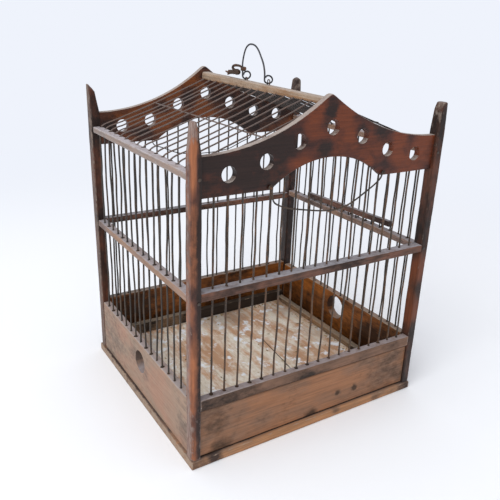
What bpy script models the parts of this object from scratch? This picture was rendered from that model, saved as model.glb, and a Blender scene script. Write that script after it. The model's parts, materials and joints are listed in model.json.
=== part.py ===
"""Old wooden bird cage: wire walls, a lift-up wire door, a pull-out tray and a wire bail.

Metres, +Z up. The origin is the middle of the base board's underside, the front
faces -Y, and the door is in the right wall, at +X.
"""
import math

import bmesh
import bpy
from mathutils import Matrix, Vector

# Fits and cuts
FIT_GAP = 0.0003            # air between two pieces that touch
OVERRUN = 0.002             # how far a cutter runs past the wood
WELD = 0.000001             # merges the loose caps of a curve

# Frame, measured over the corner posts
CAGE_WIDTH = 0.290
CAGE_DEPTH = 0.263

# Base board
BASE_THICKNESS = 0.009
BASE_OVERHANG = 0.0015
BASE_EDGE = 0.0020

# Corner posts, each cut to its own height
POST_WIDTH = 0.008
POST_DEPTH = 0.0125
POST_EDGE = 0.0010
POST_TAPER = 0.030
POST_TIP_WIDTH = 0.0045
POST_TIP_DEPTH = 0.0070
POST_TIP_LEAN = 0.0006
POST_RISE_FRONT_LEFT = 0.029
POST_RISE_FRONT_RIGHT = 0.033
POST_RISE_BACK_LEFT = 0.031
POST_RISE_BACK_RIGHT = 0.0335

# Rails between the posts, set by hand at slightly unlike heights
RAIL_WIDTH = 0.010
RAIL_INSET = 0.0005
RAIL_EDGE = 0.0007
MID_RAIL_HEIGHT = 0.0075
MID_RAIL_FRONT_Z = 0.179
MID_RAIL_BACK_Z = 0.175
MID_RAIL_LEFT_Z = 0.1745
MID_RAIL_RIGHT_Z = 0.179
EAVE_RAIL_HEIGHT = 0.0065
EAVE_RAIL_RISE = 0.0145

# Low boards of the back and side walls, with a feeder hole in each side
BOARD_THICKNESS = 0.009
BOARD_INSET = 0.001
BOARD_EDGE = 0.0006
SIDE_BOARD_TOP = 0.0728
BACK_BOARD_TOP = 0.076
FEEDER_RADIUS = 0.0125
FEEDER_LEFT_Y = 0.002
FEEDER_LEFT_Z = 0.0495
FEEDER_RIGHT_Y = -0.0005
FEEDER_RIGHT_Z = 0.0538

# Strip over the tray, lower at its right end
STRIP_THICKNESS = 0.009
STRIP_INSET = 0.0005
STRIP_HEIGHT = 0.012
STRIP_TOP_LEFT = 0.076
STRIP_TOP_RIGHT = 0.0725

# Tray
TRAY_INSET = 0.0025
TRAY_FRONT_THICKNESS = 0.008
TRAY_FRONT_LIFT = 0.0012
TRAY_SIDE_GAP = 0.0008
TRAY_TOP_GAP = 0.0018
TRAY_EDGE = 0.0008
FLOOR_SIDE_ROOM = 0.010
FLOOR_BACK_ROOM = 0.0062
FLOOR_TOP = 0.022
PLANK_THICKNESS = 0.006
PLANK_EDGE = 0.0004
SEAM_SHARES = (0.0, 0.27, 0.60, 1.0)
RIM_WIDTH = 0.008
RIM_HEIGHT = 0.0072
BACK_STRIP_THICKNESS = 0.008
BACK_STRIP_HEIGHT = 0.0142
CLEAT_WIDTH = 0.016
CLEAT_SETBACK = 0.018
CLEAT_SIDE_INSET = 0.006

# Gables, whose foot sets the height of the eaves, the roof and the post tops
GABLE_THICKNESS = 0.007
GABLE_INSET = 0.004
GABLE_FOOT = 0.272
GABLE_SHOULDER_RISE = 0.036
GABLE_PEAK_RISE = 0.0815
GABLE_PEAK_OFFSET = -0.003
GABLE_PEAK_ROUND = 0.0035
ARCH_END_OUT = 0.001105263  # how far the arch runs past its last wire
ARCH_RISE = 0.024
PIERCING_RADIUS = 0.00725
FRONT_PIERCING_SHARES = (
    (-0.799, 0.227), (-0.522, 0.319), (-0.270, 0.503), (0.0, 0.632),
    (0.270, 0.503), (0.522, 0.319), (0.799, 0.227),
)
BACK_PIERCING_SHARES = (
    (-0.796, 0.245), (-0.540, 0.307), (-0.270, 0.509), (0.0, 0.663),
    (0.255, 0.503), (0.518, 0.362), (0.781, 0.294),
)

# Ridge beam
RIDGE_WIDTH = 0.011
RIDGE_HEIGHT = 0.008
RIDGE_CROWN = 0.0022
RIDGE_DROP = 0.003

# Wire bars
BAR_RADIUS = 0.001
BAR_SEAT = 0.005
FRONT_ROW_INSET = 0.0065
SIDE_ROW_INSET = 0.0038
LACING_SIZE = 0.0008
LACING_REACH = 0.0015

# Roof wires and the purlin that ties them
ROOF_FOOT_INSET = 0.008
ROOF_BEND_RISE = 0.008
ROOF_BEND_RUN = 0.004
ROOF_BEND_DROP = 0.0035
ROOF_SAG = 0.0125
ROOF_HEAD_DROP = 0.0055
ROOF_HEAD_SEAT = 0.0025
PURLIN_RADIUS = 0.0009
PURLIN_DROP = 0.0005
PURLIN_SHARE = 0.4
PURLIN_SEAT = 0.003

# Lift-up door in the right wall
DOOR_ROW_INSET = 0.0077
DOOR_BAR_END = 0.0145
DOOR_BAR_WIDTH = 0.0054
DOOR_BAR_HEIGHT = 0.007
DOOR_BAR_Y = -0.0025
DOOR_BAR_LIFT = 0.0038
DOOR_BAR_RISE = 0.0045
DOOR_BAR_EDGE = 0.0006
DOOR_RUN_GAP = 0.0005
DOOR_FOOT_SEAT = 0.0065

# Bail, its eyes and its staples
BAIL_RADIUS = 0.00075
BAIL_BACK_Y = 0.0265
BAIL_FRONT_Y = -0.0172
BAIL_HEIGHT = 0.032
EYE_RADIUS = 0.0047
EYE_OVERLAP_GAP = 0.00045
EYE_FLAT_SHARE = 0.58
BAIL_ARCH_SHARES = (
    (0.0, 0.09), (0.0, 0.21), (-0.014, 0.33), (0.016, 0.545), (0.087, 0.778), (0.178, 0.922),
    (0.330, 1.0), (0.524, 0.975), (0.677, 0.856), (0.815, 0.647), (0.922, 0.451),
    (0.982, 0.251), (1.0, 0.12),
)
STAPLE_RADIUS = 0.0005
STAPLE_PLAY = 0.00045
STAPLE_SEAT = 0.0048

# Twist of tie wire on the bail's back leg
KNOT_RADIUS = 0.0011
KNOT_LENGTH = 0.030
KNOT_HEIGHT = 0.0085
KNOT_WRAP_GAP = 0.0004
KNOT_WRAP_PITCH = 0.0027
KNOT_WRAP_Z = 0.0067
KNOT_ROUTE_SHARES = (
    (0.24, 0.36, 0.00), (0.42, 0.24, 0.02), (0.58, 0.05, 0.02), (0.62, -0.25, -0.02),
    (0.52, -0.54, -0.06), (0.36, -0.58, -0.10), (0.27, -0.80, -0.16), (0.42, -0.90, -0.10),
    (0.62, -0.86, -0.04), (0.80, -0.90, -0.06), (1.00, -0.86, -0.08),
)
KNOT_THICKNESS_SHARES = (1.0, 0.95, 0.95, 1.0, 1.05, 1.1, 1.05, 1.0, 1.1, 1.2, 0.8)
KNOT_WRAP_THICKNESS_SHARE = 0.85
KNOT_WRAP_TURNS = 1.25

# Loose wire slung under the front arch
ARCH_WIRE_RADIUS = 0.0006
ARCH_WIRE_GAP = 0.0009
ARCH_WIRE_SAG = 0.0268
ARCH_NAIL_OUT = 0.0015
ARCH_NAIL_UP = 0.0028
ARCH_NAIL_SEAT = 0.005

# Nails
NAIL_RADIUS = 0.0008
NAIL_HEAD_RADIUS = 0.0018
NAIL_HEAD_THICKNESS = 0.0007
RAIL_NAIL_LENGTH = 0.020

# Counts and facets
FRONT_BAR_COUNT = 18
ARCH_BAR_COUNT = 10
SIDE_BAR_COUNT = 16
DOOR_BAR_COUNT = 10
ROD_SIDES = 6
PIERCING_SIDES = 16
FEEDER_SIDES = 24
ARCH_STEPS = 12
SWEEP_STEPS = 8
PEAK_STEPS = 4
CROWN_STEPS = 4
ROOF_STEPS = 4
EYE_STEPS = 12
KNOT_WRAP_STEPS = 12
ARCH_WIRE_STEPS = 12
HOOK_STEPS = 4
SMOOTH_LIMIT = math.radians(50)
ROD_TURN = math.pi / ROD_SIDES

# Finishes: colour, roughness, metallic
DARK_VARNISH = ("4A2316", 0.36, 0.0)
BROWN_VARNISH = ("6A4029", 0.42, 0.0)
WORN_WOOD = ("8A7463", 0.60, 0.0)
PALE_WOOD = ("A89683", 0.65, 0.0)
TAN_BOARD = ("80604A", 0.55, 0.0)
LIMED_WOOD = ("B9AD9C", 0.85, 0.0)
RUSTY_WIRE = ("4B3A30", 0.60, 0.85)
DARK_WIRE = ("3A3733", 0.50, 0.90)
RUSTY_TIE = ("6B4630", 0.80, 0.60)

# Places that follow from the sizes
HALF_WIDTH = CAGE_WIDTH / 2
HALF_DEPTH = CAGE_DEPTH / 2
CLEAR_X = HALF_WIDTH - POST_WIDTH
CLEAR_Y = HALF_DEPTH - POST_DEPTH
FRAME_Z = BASE_THICKNESS + FIT_GAP
FRONT_ROW_Y = HALF_DEPTH - FRONT_ROW_INSET
SIDE_ROW_X = HALF_WIDTH - SIDE_ROW_INSET
DOOR_ROW_X = HALF_WIDTH - DOOR_ROW_INSET
GABLE_FACE_Y = HALF_DEPTH - GABLE_INSET
GABLE_BACK_Y = GABLE_FACE_Y - GABLE_THICKNESS
GABLE_SHOULDER = GABLE_FOOT + GABLE_SHOULDER_RISE
GABLE_PEAK = GABLE_FOOT + GABLE_PEAK_RISE
RIDGE_TOP = GABLE_PEAK - RIDGE_DROP
EAVE_RAIL_Z = GABLE_FOOT + EAVE_RAIL_RISE
EAVE_RAIL_TOP = EAVE_RAIL_Z + EAVE_RAIL_HEIGHT
PURLIN_X = HALF_WIDTH * PURLIN_SHARE
HOLE_RADIUS = BAR_RADIUS + FIT_GAP
LACING_Z = FIT_GAP + LACING_SIZE
RAIL_MID_X = HALF_WIDTH - RAIL_INSET - RAIL_WIDTH / 2
EYE_Z = RIDGE_TOP + FIT_GAP + BAIL_RADIUS + EYE_RADIUS


def remove_everything():
    for item in list(bpy.data.objects):
        bpy.data.objects.remove(item, do_unlink=True)


def new_collection(name):
    collection = bpy.data.collections.new(name)
    bpy.context.scene.collection.children.link(collection)
    return collection


remove_everything()
CAGE = new_collection("bird_cage")
CUTTERS = new_collection("cutters")


def linear(channel):
    if channel <= 0.04045:
        return channel / 12.92
    return ((channel + 0.055) / 1.055) ** 2.4


def make_material(name, finish):
    """A Principled material in the piece's own colour."""
    colour, roughness, metallic = finish
    channels = [int(colour[i:i + 2], 16) / 255 for i in (0, 2, 4)]
    material = bpy.data.materials.new(name + "_finish")
    material.use_nodes = True
    shader = material.node_tree.nodes["Principled BSDF"]
    shader.inputs["Base Color"].default_value = [linear(c) for c in channels] + [1.0]
    shader.inputs["Roughness"].default_value = roughness
    shader.inputs["Metallic"].default_value = metallic
    return material


def make_piece(name, mesh, finish):
    """A named piece of the cage with a material of its own."""
    piece = bpy.data.objects.new(name, mesh)
    CAGE.objects.link(piece)
    mesh.materials.clear()
    mesh.materials.append(make_material(name, finish))
    return piece


def make_cutter(name, mesh):
    """A guide body that cuts or joins and is not a piece itself."""
    cutter = bpy.data.objects.new(name, mesh)
    CUTTERS.objects.link(cutter)
    cutter.hide_render = True
    cutter.display_type = "WIRE"
    return cutter


def mesh_from(bm, name):
    mesh = bpy.data.meshes.new(name)
    bm.to_mesh(mesh)
    bm.free()
    return mesh


def box_mesh(name, low, high):
    """A box between two corners."""
    bm = bmesh.new()
    bmesh.ops.create_cube(bm, size=1.0)
    low = Vector(low)
    high = Vector(high)
    bmesh.ops.scale(bm, vec=high - low, verts=bm.verts)
    bmesh.ops.translate(bm, vec=(low + high) / 2, verts=bm.verts)
    return mesh_from(bm, name)


def ease_edges(piece, width):
    bevel = piece.modifiers.new("worn_edges", "BEVEL")
    bevel.width = width
    bevel.segments = 1
    bevel.limit_method = "ANGLE"


def combine(piece, other, operation):
    boolean = piece.modifiers.new(operation.lower(), "BOOLEAN")
    boolean.operation = operation
    boolean.solver = "EXACT"
    boolean.object = other


def wood_box(name, low, high, edge, finish):
    piece = make_piece(name, box_mesh(name, low, high), finish)
    ease_edges(piece, edge)
    return piece


def sided(low, high, axis, side):
    """Mirror a box's corners to the negative side of an axis."""
    low = list(low)
    high = list(high)
    if side < 0:
        low[axis], high[axis] = -high[axis], -low[axis]
    return low, high


def add_rod(bm, start, end, radius, turn, sides=ROD_SIDES):
    """A straight rod between two points."""
    start = Vector(start)
    end = Vector(end)
    span = end - start
    aim = span.to_track_quat("Z", "Y").to_matrix().to_4x4()
    place = Matrix.Translation((start + end) / 2) @ aim @ Matrix.Rotation(turn, 4, "Z")
    bmesh.ops.create_cone(
        bm, cap_ends=True, segments=sides, radius1=radius, radius2=radius,
        depth=span.length, matrix=place,
    )


def rods_mesh(name, rods, turn, sides=ROD_SIDES):
    """One mesh of separate rods, each given as start, end and radius."""
    bm = bmesh.new()
    for start, end, radius in rods:
        add_rod(bm, start, end, radius, turn, sides)
    return mesh_from(bm, name)


def drill(piece, rods, turn, sides=ROD_SIDES):
    label = piece.name + "_holes_" + str(len(piece.modifiers))
    combine(piece, make_cutter(label, rods_mesh(label, rods, turn, sides)), "DIFFERENCE")


def groove(piece, low, high):
    label = piece.name + "_groove"
    combine(piece, make_cutter(label, box_mesh(label, low, high)), "DIFFERENCE")


def curve_mesh(name, splines, radius, resolution, thickness=None):
    """A mesh of round wires that follow lists of points."""
    data = bpy.data.curves.new(name + "_route", "CURVE")
    data.dimensions = "3D"
    data.bevel_depth = radius
    data.bevel_resolution = resolution
    data.use_fill_caps = True
    for route in splines:
        spline = data.splines.new("POLY")
        spline.points.add(len(route) - 1)
        for index, place in enumerate(route):
            spline.points[index].co = (*place, 1.0)
            if thickness:
                spline.points[index].radius = thickness[index]
    return baked_curve(name, data)


def baked_curve(name, data):
    """The closed mesh of a curve, with its caps welded on."""
    route = bpy.data.objects.new(name + "_route", data)
    CUTTERS.objects.link(route)
    graph = bpy.context.evaluated_depsgraph_get()
    mesh = bpy.data.meshes.new_from_object(route.evaluated_get(graph))
    mesh.name = name
    mesh.transform(route.matrix_world)
    bpy.data.objects.remove(route, do_unlink=True)
    bm = bmesh.new()
    bm.from_mesh(mesh)
    bmesh.ops.remove_doubles(bm, verts=bm.verts, dist=WELD)
    bmesh.ops.recalc_face_normals(bm, faces=bm.faces)
    bm.to_mesh(mesh)
    bm.free()
    return mesh


def plate_mesh(name, outline, holes, middle_y, thickness):
    """An upright board in the XZ plane, cut to an outline with holes in it."""
    data = bpy.data.curves.new(name + "_outline", "CURVE")
    data.dimensions = "2D"
    data.fill_mode = "BOTH"
    data.extrude = thickness / 2
    for loop in [outline] + holes:
        spline = data.splines.new("POLY")
        spline.points.add(len(loop) - 1)
        for index, (across, up) in enumerate(loop):
            spline.points[index].co = (across, up, 0, 1)
        spline.use_cyclic_u = True
    mesh = baked_curve(name, data)
    mesh.transform(Matrix.Translation((0, middle_y, 0)) @ Matrix.Rotation(math.pi / 2, 4, "X"))
    return mesh


def smooth(piece):
    piece.data.shade_smooth()
    piece.data.set_sharp_from_angle(angle=SMOOTH_LIMIT)
    return piece


def circle(centre, radius, count):
    turns = [2 * math.pi * i / count for i in range(count)]
    return [(centre[0] + radius * math.cos(a), centre[1] + radius * math.sin(a)) for a in turns]


def spread(count, half_room):
    """Even places across a clear width, with a full step at each end."""
    step = 2 * half_room / (count + 1)
    return [step * (i + 1) - half_room for i in range(count)]


FRONT_XS = spread(FRONT_BAR_COUNT, CLEAR_X)
ARCH_HALF_SPAN = FRONT_XS[(FRONT_BAR_COUNT + ARCH_BAR_COUNT) // 2 - 1] + ARCH_END_OUT
SIDE_YS = spread(SIDE_BAR_COUNT, CLEAR_Y)
FLANK_COUNT = (SIDE_BAR_COUNT - DOOR_BAR_COUNT) // 2
FLANK_FRONT_YS = SIDE_YS[:FLANK_COUNT]
DOOR_YS = SIDE_YS[FLANK_COUNT:SIDE_BAR_COUNT - FLANK_COUNT]
FLANK_BACK_YS = SIDE_YS[SIDE_BAR_COUNT - FLANK_COUNT:]
DOOR_BAR_LENGTH = DOOR_YS[-1] - DOOR_YS[0] + 2 * DOOR_BAR_END


def share_between(low, high, share):
    return low + (high - low) * share


def strip_top(x):
    """Height of the front strip's top, which falls to the right."""
    return share_between(STRIP_TOP_LEFT, STRIP_TOP_RIGHT, (x + CLEAR_X) / (2 * CLEAR_X))


def gable_foot(x):
    """Height of a gable's lower edge, arch included."""
    if abs(x) >= ARCH_HALF_SPAN:
        return GABLE_FOOT
    radius = (ARCH_HALF_SPAN ** 2 + ARCH_RISE ** 2) / (2 * ARCH_RISE)
    return GABLE_FOOT + ARCH_RISE - radius + math.sqrt(radius ** 2 - x ** 2)


def gable_top(x):
    """Height of a gable's upper edge: a hollow sweep from each post to the peak."""
    side = 1 if x >= GABLE_PEAK_OFFSET else -1
    rise = GABLE_PEAK - GABLE_SHOULDER
    whole_run = CLEAR_X - side * GABLE_PEAK_OFFSET
    radius = (whole_run ** 2 + rise ** 2) / (2 * rise)
    run = CLEAR_X - side * x
    return GABLE_SHOULDER + radius - math.sqrt(radius ** 2 - run ** 2)


def gable_outline():
    end = CLEAR_X - FIT_GAP
    across = [-ARCH_HALF_SPAN + 2 * ARCH_HALF_SPAN * i / ARCH_STEPS for i in range(ARCH_STEPS + 1)]
    foot = [(-end, GABLE_FOOT)] + [(x, gable_foot(x)) for x in across] + [(end, GABLE_FOOT)]
    right_start = GABLE_PEAK_OFFSET + GABLE_PEAK_ROUND
    left_start = GABLE_PEAK_OFFSET - GABLE_PEAK_ROUND
    steps = [i / SWEEP_STEPS for i in range(SWEEP_STEPS + 1)]
    right = [(x, gable_top(x)) for x in (share_between(end, right_start, s) for s in steps)]
    left = [(x, gable_top(x)) for x in (share_between(left_start, -end, s) for s in steps)]
    peak = Vector((GABLE_PEAK_OFFSET, GABLE_PEAK))
    first = Vector(right[-1])
    last = Vector(left[0])
    rounding = []
    for i in range(1, PEAK_STEPS):
        s = i / PEAK_STEPS
        rounding.append(tuple(first * (1 - s) ** 2 + peak * 2 * s * (1 - s) + last * s ** 2))
    return foot + right + rounding + left


def make_gable(name, side, piercing_shares):
    """An end board with its arch, its round piercings and holes for the wires."""
    middle_y = side * (GABLE_FACE_Y - GABLE_THICKNESS / 2)
    rise = GABLE_PEAK - GABLE_FOOT
    piercings = [
        circle((across * CLEAR_X, GABLE_FOOT + up * rise), PIERCING_RADIUS, PIERCING_SIDES)
        for across, up in piercing_shares
    ]
    mesh = plate_mesh(name, gable_outline(), piercings, middle_y, GABLE_THICKNESS)
    gable = make_piece(name, mesh, DARK_VARNISH)
    row_y = side * FRONT_ROW_Y
    tops = [
        ((x, row_y, gable_foot(x) - OVERRUN - ARCH_RISE / ARCH_STEPS),
         (x, row_y, gable_foot(x) + BAR_SEAT + FIT_GAP), HOLE_RADIUS)
        for x in FRONT_XS
    ]
    drill(gable, tops, 0)
    inner_y = side * (GABLE_BACK_Y - OVERRUN)
    deep_y = side * (GABLE_BACK_Y + PURLIN_SEAT + FIT_GAP)
    purlin_ends = [
        ((x, inner_y, purlin_z()), (x, deep_y, purlin_z()), PURLIN_RADIUS + FIT_GAP)
        for x in (-PURLIN_X, PURLIN_X)
    ]
    drill(gable, purlin_ends, 0)
    return gable


def roof_span():
    """The low and high ends of a roof wire's slope, as distance from the middle and height."""
    low = Vector((HALF_WIDTH - ROOF_FOOT_INSET - ROOF_BEND_RUN, EAVE_RAIL_TOP + ROOF_BEND_RISE))
    high = Vector((RIDGE_WIDTH / 2, RIDGE_TOP - ROOF_HEAD_DROP))
    return low, high


def roof_place(share):
    """A point on the hollow slope of a roof wire."""
    low, high = roof_span()
    place = low.lerp(high, share)
    place.y -= 4 * ROOF_SAG * share * (1 - share)
    return place


def purlin_z():
    low, high = roof_span()
    return roof_place((low.x - PURLIN_X) / (low.x - high.x)).y - PURLIN_DROP


def roof_route(side, y):
    """From the hole in the eave rail, round the bend and up to the hole in the ridge."""
    foot_x = HALF_WIDTH - ROOF_FOOT_INSET
    low, high = roof_span()
    head = (high - roof_place(1 - 1 / ROOF_STEPS)).normalized()
    seat = high + head * ROOF_HEAD_SEAT
    knee = Vector((foot_x, low.y - ROOF_BEND_DROP))
    profile = [Vector((foot_x, EAVE_RAIL_TOP - BAR_SEAT)), knee]
    profile += [roof_place(i / ROOF_STEPS) for i in range(ROOF_STEPS + 1)]
    profile.append(seat)
    return [(side * place.x, y, place.y) for place in profile]


def make_roof(name, side):
    """The wires of one slope, tied by the purlin wire that crosses them."""
    x = side * PURLIN_X
    end_y = GABLE_BACK_Y + PURLIN_SEAT
    purlin = [((x, -end_y, purlin_z()), (x, end_y, purlin_z()), PURLIN_RADIUS)]
    roof = make_piece(name, rods_mesh(name, purlin, 0), RUSTY_WIRE)
    routes = [roof_route(side, y) for y in SIDE_YS]
    label = name + "_wires"
    combine(roof, make_cutter(label, curve_mesh(label, routes, BAR_RADIUS, 1)), "UNION")
    return smooth(roof)


def make_base():
    half_x = HALF_WIDTH + BASE_OVERHANG
    half_y = HALF_DEPTH + BASE_OVERHANG
    low = (-half_x, -half_y, 0)
    high = (half_x, half_y, BASE_THICKNESS)
    return wood_box("base_board", low, high, BASE_EDGE, TAN_BOARD)


def rail_nail_heights(side_x):
    """The middles of the side rails, where nails come through the posts."""
    mid = MID_RAIL_LEFT_Z if side_x < 0 else MID_RAIL_RIGHT_Z
    return {"mid": mid + MID_RAIL_HEIGHT / 2, "eave": EAVE_RAIL_Z + EAVE_RAIL_HEIGHT / 2}


def make_post(name, side_x, side_y, top):
    """A corner post whose inner faces taper to a blunt tip."""
    taper_z = top - POST_TAPER
    low, high = sided((CLEAR_X, CLEAR_Y, FRAME_Z), (HALF_WIDTH, HALF_DEPTH, taper_z), 0, side_x)
    low, high = sided(low, high, 1, side_y)
    bm = bmesh.new()
    bm.from_mesh(box_mesh(name + "_shaft", low, high))
    upper = [face for face in bm.faces if face.normal.z > 0.5]
    grown = bmesh.ops.extrude_face_region(bm, geom=upper)
    bmesh.ops.delete(bm, geom=upper, context="FACES_ONLY")
    for vert in (item for item in grown["geom"] if isinstance(item, bmesh.types.BMVert)):
        outer_x = abs(vert.co.x) > CLEAR_X + POST_WIDTH / 2
        outer_y = abs(vert.co.y) > CLEAR_Y + POST_DEPTH / 2
        back_x = POST_TIP_LEAN if outer_x else POST_TIP_LEAN + POST_TIP_WIDTH
        back_y = POST_TIP_LEAN if outer_y else POST_TIP_LEAN + POST_TIP_DEPTH
        vert.co.x = side_x * (HALF_WIDTH - back_x)
        vert.co.y = side_y * (HALF_DEPTH - back_y)
        vert.co.z = top
    post = make_piece(name, mesh_from(bm, name), DARK_VARNISH)
    ease_edges(post, POST_EDGE)
    nails = [
        ((side_x * RAIL_MID_X, side_y * (CLEAR_Y - OVERRUN), z),
         (side_x * RAIL_MID_X, side_y * (HALF_DEPTH + OVERRUN), z), NAIL_RADIUS + FIT_GAP)
        for z in rail_nail_heights(side_x).values()
    ]
    drill(post, nails, 0)
    return post


def rail_end_holes(rail, side_x, z):
    """Holes in both ends of a side rail for its nails."""
    end_y = CLEAR_Y - FIT_GAP
    deep_y = HALF_DEPTH - RAIL_NAIL_LENGTH - FIT_GAP
    rods = [
        ((side_x * RAIL_MID_X, side_y * deep_y, z),
         (side_x * RAIL_MID_X, side_y * (end_y + OVERRUN), z), NAIL_RADIUS + FIT_GAP)
        for side_y in (-1, 1)
    ]
    drill(rail, rods, 0)


def side_rail(name, side_x, low_z, height, finish):
    outer = HALF_WIDTH - RAIL_INSET
    end_y = CLEAR_Y - FIT_GAP
    top_z = low_z + height
    low, high = sided((outer - RAIL_WIDTH, -end_y, low_z), (outer, end_y, top_z), 0, side_x)
    return wood_box(name, low, high, RAIL_EDGE, finish)


def end_rail(name, side_y, low_z):
    outer = HALF_DEPTH - RAIL_INSET
    end_x = CLEAR_X - FIT_GAP
    top_z = low_z + MID_RAIL_HEIGHT
    low, high = sided((-end_x, outer - RAIL_WIDTH, low_z), (end_x, outer, top_z), 1, side_y)
    return wood_box(name, low, high, RAIL_EDGE, BROWN_VARNISH)


def upright(x, y, low_z, high_z, radius):
    return (x, y, low_z), (x, y, high_z), radius


def lacing_box(places, row, low_z, along_x, spare):
    """The strip along a row of wires, or with spare room the groove that hides it."""
    reach = BAR_RADIUS + LACING_REACH + spare
    half = LACING_SIZE / 2 + spare
    start = min(places) - reach
    end = max(places) + reach
    bottom = low_z + LACING_Z - LACING_SIZE / 2 - spare
    if spare:
        bottom = low_z - OVERRUN
    top = low_z + LACING_Z + half
    if along_x:
        return (start, row - half, bottom), (end, row + half, top)
    return (row - half, start, bottom), (row + half, end, top)


def lace(name, rods, strip, turn):
    """Wires joined into one panel by their lacing strip."""
    panel = make_piece(name, box_mesh(name, *strip), RUSTY_WIRE)
    label = name + "_wires"
    combine(panel, make_cutter(label, rods_mesh(label, rods, turn)), "UNION")
    return panel


def make_mid_rail_end(name, side_y, low_z):
    rail = end_rail(name, side_y, low_z)
    row = side_y * FRONT_ROW_Y
    groove(rail, *lacing_box(FRONT_XS, row, low_z, True, FIT_GAP))
    top = low_z + MID_RAIL_HEIGHT + OVERRUN
    drill(rail, [upright(x, row, low_z - OVERRUN, top, HOLE_RADIUS) for x in FRONT_XS], 0)
    return rail


def make_mid_rail_side(name, side_x, low_z, finish):
    rail = side_rail(name, side_x, low_z, MID_RAIL_HEIGHT, finish)
    row = side_x * SIDE_ROW_X
    groove(rail, *lacing_box(SIDE_YS, row, low_z, False, FIT_GAP))
    top = low_z + MID_RAIL_HEIGHT + OVERRUN
    holes = [upright(row, y, low_z - OVERRUN, top, HOLE_RADIUS) for y in SIDE_YS]
    if side_x > 0:
        holes += [upright(DOOR_ROW_X, y, low_z - OVERRUN, top, HOLE_RADIUS) for y in DOOR_YS]
    drill(rail, holes, ROD_TURN)
    rail_end_holes(rail, side_x, low_z + MID_RAIL_HEIGHT / 2)
    return rail


def make_eave_rail(name, side_x):
    """The batten that takes the wall wires from below and the roof wires from above."""
    rail = side_rail(name, side_x, EAVE_RAIL_Z, EAVE_RAIL_HEIGHT, WORN_WOOD)
    row = side_x * SIDE_ROW_X
    foot = side_x * (HALF_WIDTH - ROOF_FOOT_INSET)
    seat_top = EAVE_RAIL_Z + BAR_SEAT + FIT_GAP
    seat_bottom = EAVE_RAIL_TOP - BAR_SEAT - FIT_GAP
    holes = [upright(row, y, EAVE_RAIL_Z - OVERRUN, seat_top, HOLE_RADIUS) for y in SIDE_YS]
    holes += [upright(foot, y, seat_bottom, EAVE_RAIL_TOP + OVERRUN, HOLE_RADIUS) for y in SIDE_YS]
    drill(rail, holes, ROD_TURN)
    rail_end_holes(rail, side_x, EAVE_RAIL_Z + EAVE_RAIL_HEIGHT / 2)
    return rail


def make_ridge():
    """The round-topped beam, with a slanting hole for the head of every roof wire."""
    half = RIDGE_WIDTH / 2
    spring = RIDGE_TOP - RIDGE_CROWN
    turns = [math.pi * i / CROWN_STEPS for i in range(CROWN_STEPS + 1)]
    crown = [(half * math.cos(a), spring + RIDGE_CROWN * math.sin(a)) for a in turns]
    outline = [(-half, RIDGE_TOP - RIDGE_HEIGHT), (half, RIDGE_TOP - RIDGE_HEIGHT)] + crown
    length = 2 * (GABLE_BACK_Y - FIT_GAP)
    ridge = make_piece("ridge_beam", plate_mesh("ridge_beam", outline, [], 0, length), PALE_WOOD)
    heads = []
    for side in (-1, 1):
        for y in SIDE_YS:
            route = roof_route(side, y)
            seat = Vector(route[-1])
            aim = (seat - Vector(route[-2])).normalized()
            mouth = seat - aim * (ROOF_HEAD_SEAT + OVERRUN)
            heads.append((mouth, seat + aim * FIT_GAP, HOLE_RADIUS))
    drill(ridge, heads, 0)
    legs = []
    bottom = RIDGE_TOP - STAPLE_SEAT - FIT_GAP
    top = RIDGE_TOP + OVERRUN
    for middle_y in (BAIL_BACK_Y, BAIL_FRONT_Y):
        for step in (-staple_reach(), staple_reach()):
            legs.append(upright(0, middle_y + step, bottom, top, STAPLE_RADIUS + FIT_GAP))
    drill(ridge, legs, 0)
    return ridge


def make_side_board(name, side_x, hole_y, hole_z, finish):
    """A low side wall with its feeder hole and holes for the feet of the wires."""
    outer = HALF_WIDTH - BOARD_INSET
    inner = outer - BOARD_THICKNESS
    end_y = CLEAR_Y - FIT_GAP
    low, high = sided((inner, -end_y, FRAME_Z), (outer, end_y, SIDE_BOARD_TOP), 0, side_x)
    board = wood_box(name, low, high, BOARD_EDGE, finish)
    start = (side_x * (inner - OVERRUN), hole_y, hole_z)
    end = (side_x * (outer + OVERRUN), hole_y, hole_z)
    drill(board, [(start, end, FEEDER_RADIUS)], 0, FEEDER_SIDES)
    row = side_x * SIDE_ROW_X
    feet = SIDE_YS if side_x < 0 else FLANK_FRONT_YS + FLANK_BACK_YS
    bottom = SIDE_BOARD_TOP - BAR_SEAT - FIT_GAP
    top = SIDE_BOARD_TOP + OVERRUN
    holes = [upright(row, y, bottom, top, HOLE_RADIUS) for y in feet]
    if side_x > 0:
        door_bottom = SIDE_BOARD_TOP - DOOR_FOOT_SEAT - FIT_GAP
        holes += [upright(DOOR_ROW_X, y, door_bottom, top, HOLE_RADIUS) for y in DOOR_YS]
    drill(board, holes, ROD_TURN)
    return board


def make_back_board():
    outer = HALF_DEPTH - BOARD_INSET
    end_x = CLEAR_X - FIT_GAP
    low = (-end_x, outer - BOARD_THICKNESS, FRAME_Z)
    high = (end_x, outer, BACK_BOARD_TOP)
    board = wood_box("lower_board_back", low, high, BOARD_EDGE, DARK_VARNISH)
    bottom = BACK_BOARD_TOP - BAR_SEAT - FIT_GAP
    top = BACK_BOARD_TOP + OVERRUN
    drill(board, [upright(x, FRONT_ROW_Y, bottom, top, HOLE_RADIUS) for x in FRONT_XS], 0)
    return board


def sloping_mesh(name, low, high, lows, tops):
    """A front board whose edges may fall from its left end to its right end."""
    mesh = box_mesh(name, (*low, lows[0]), (*high, tops[0]))
    middle_z = (lows[0] + tops[0]) / 2
    for vert in mesh.vertices:
        if vert.co.x > 0:
            vert.co.z = tops[1] if vert.co.z > middle_z else lows[1]
    return mesh


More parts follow.
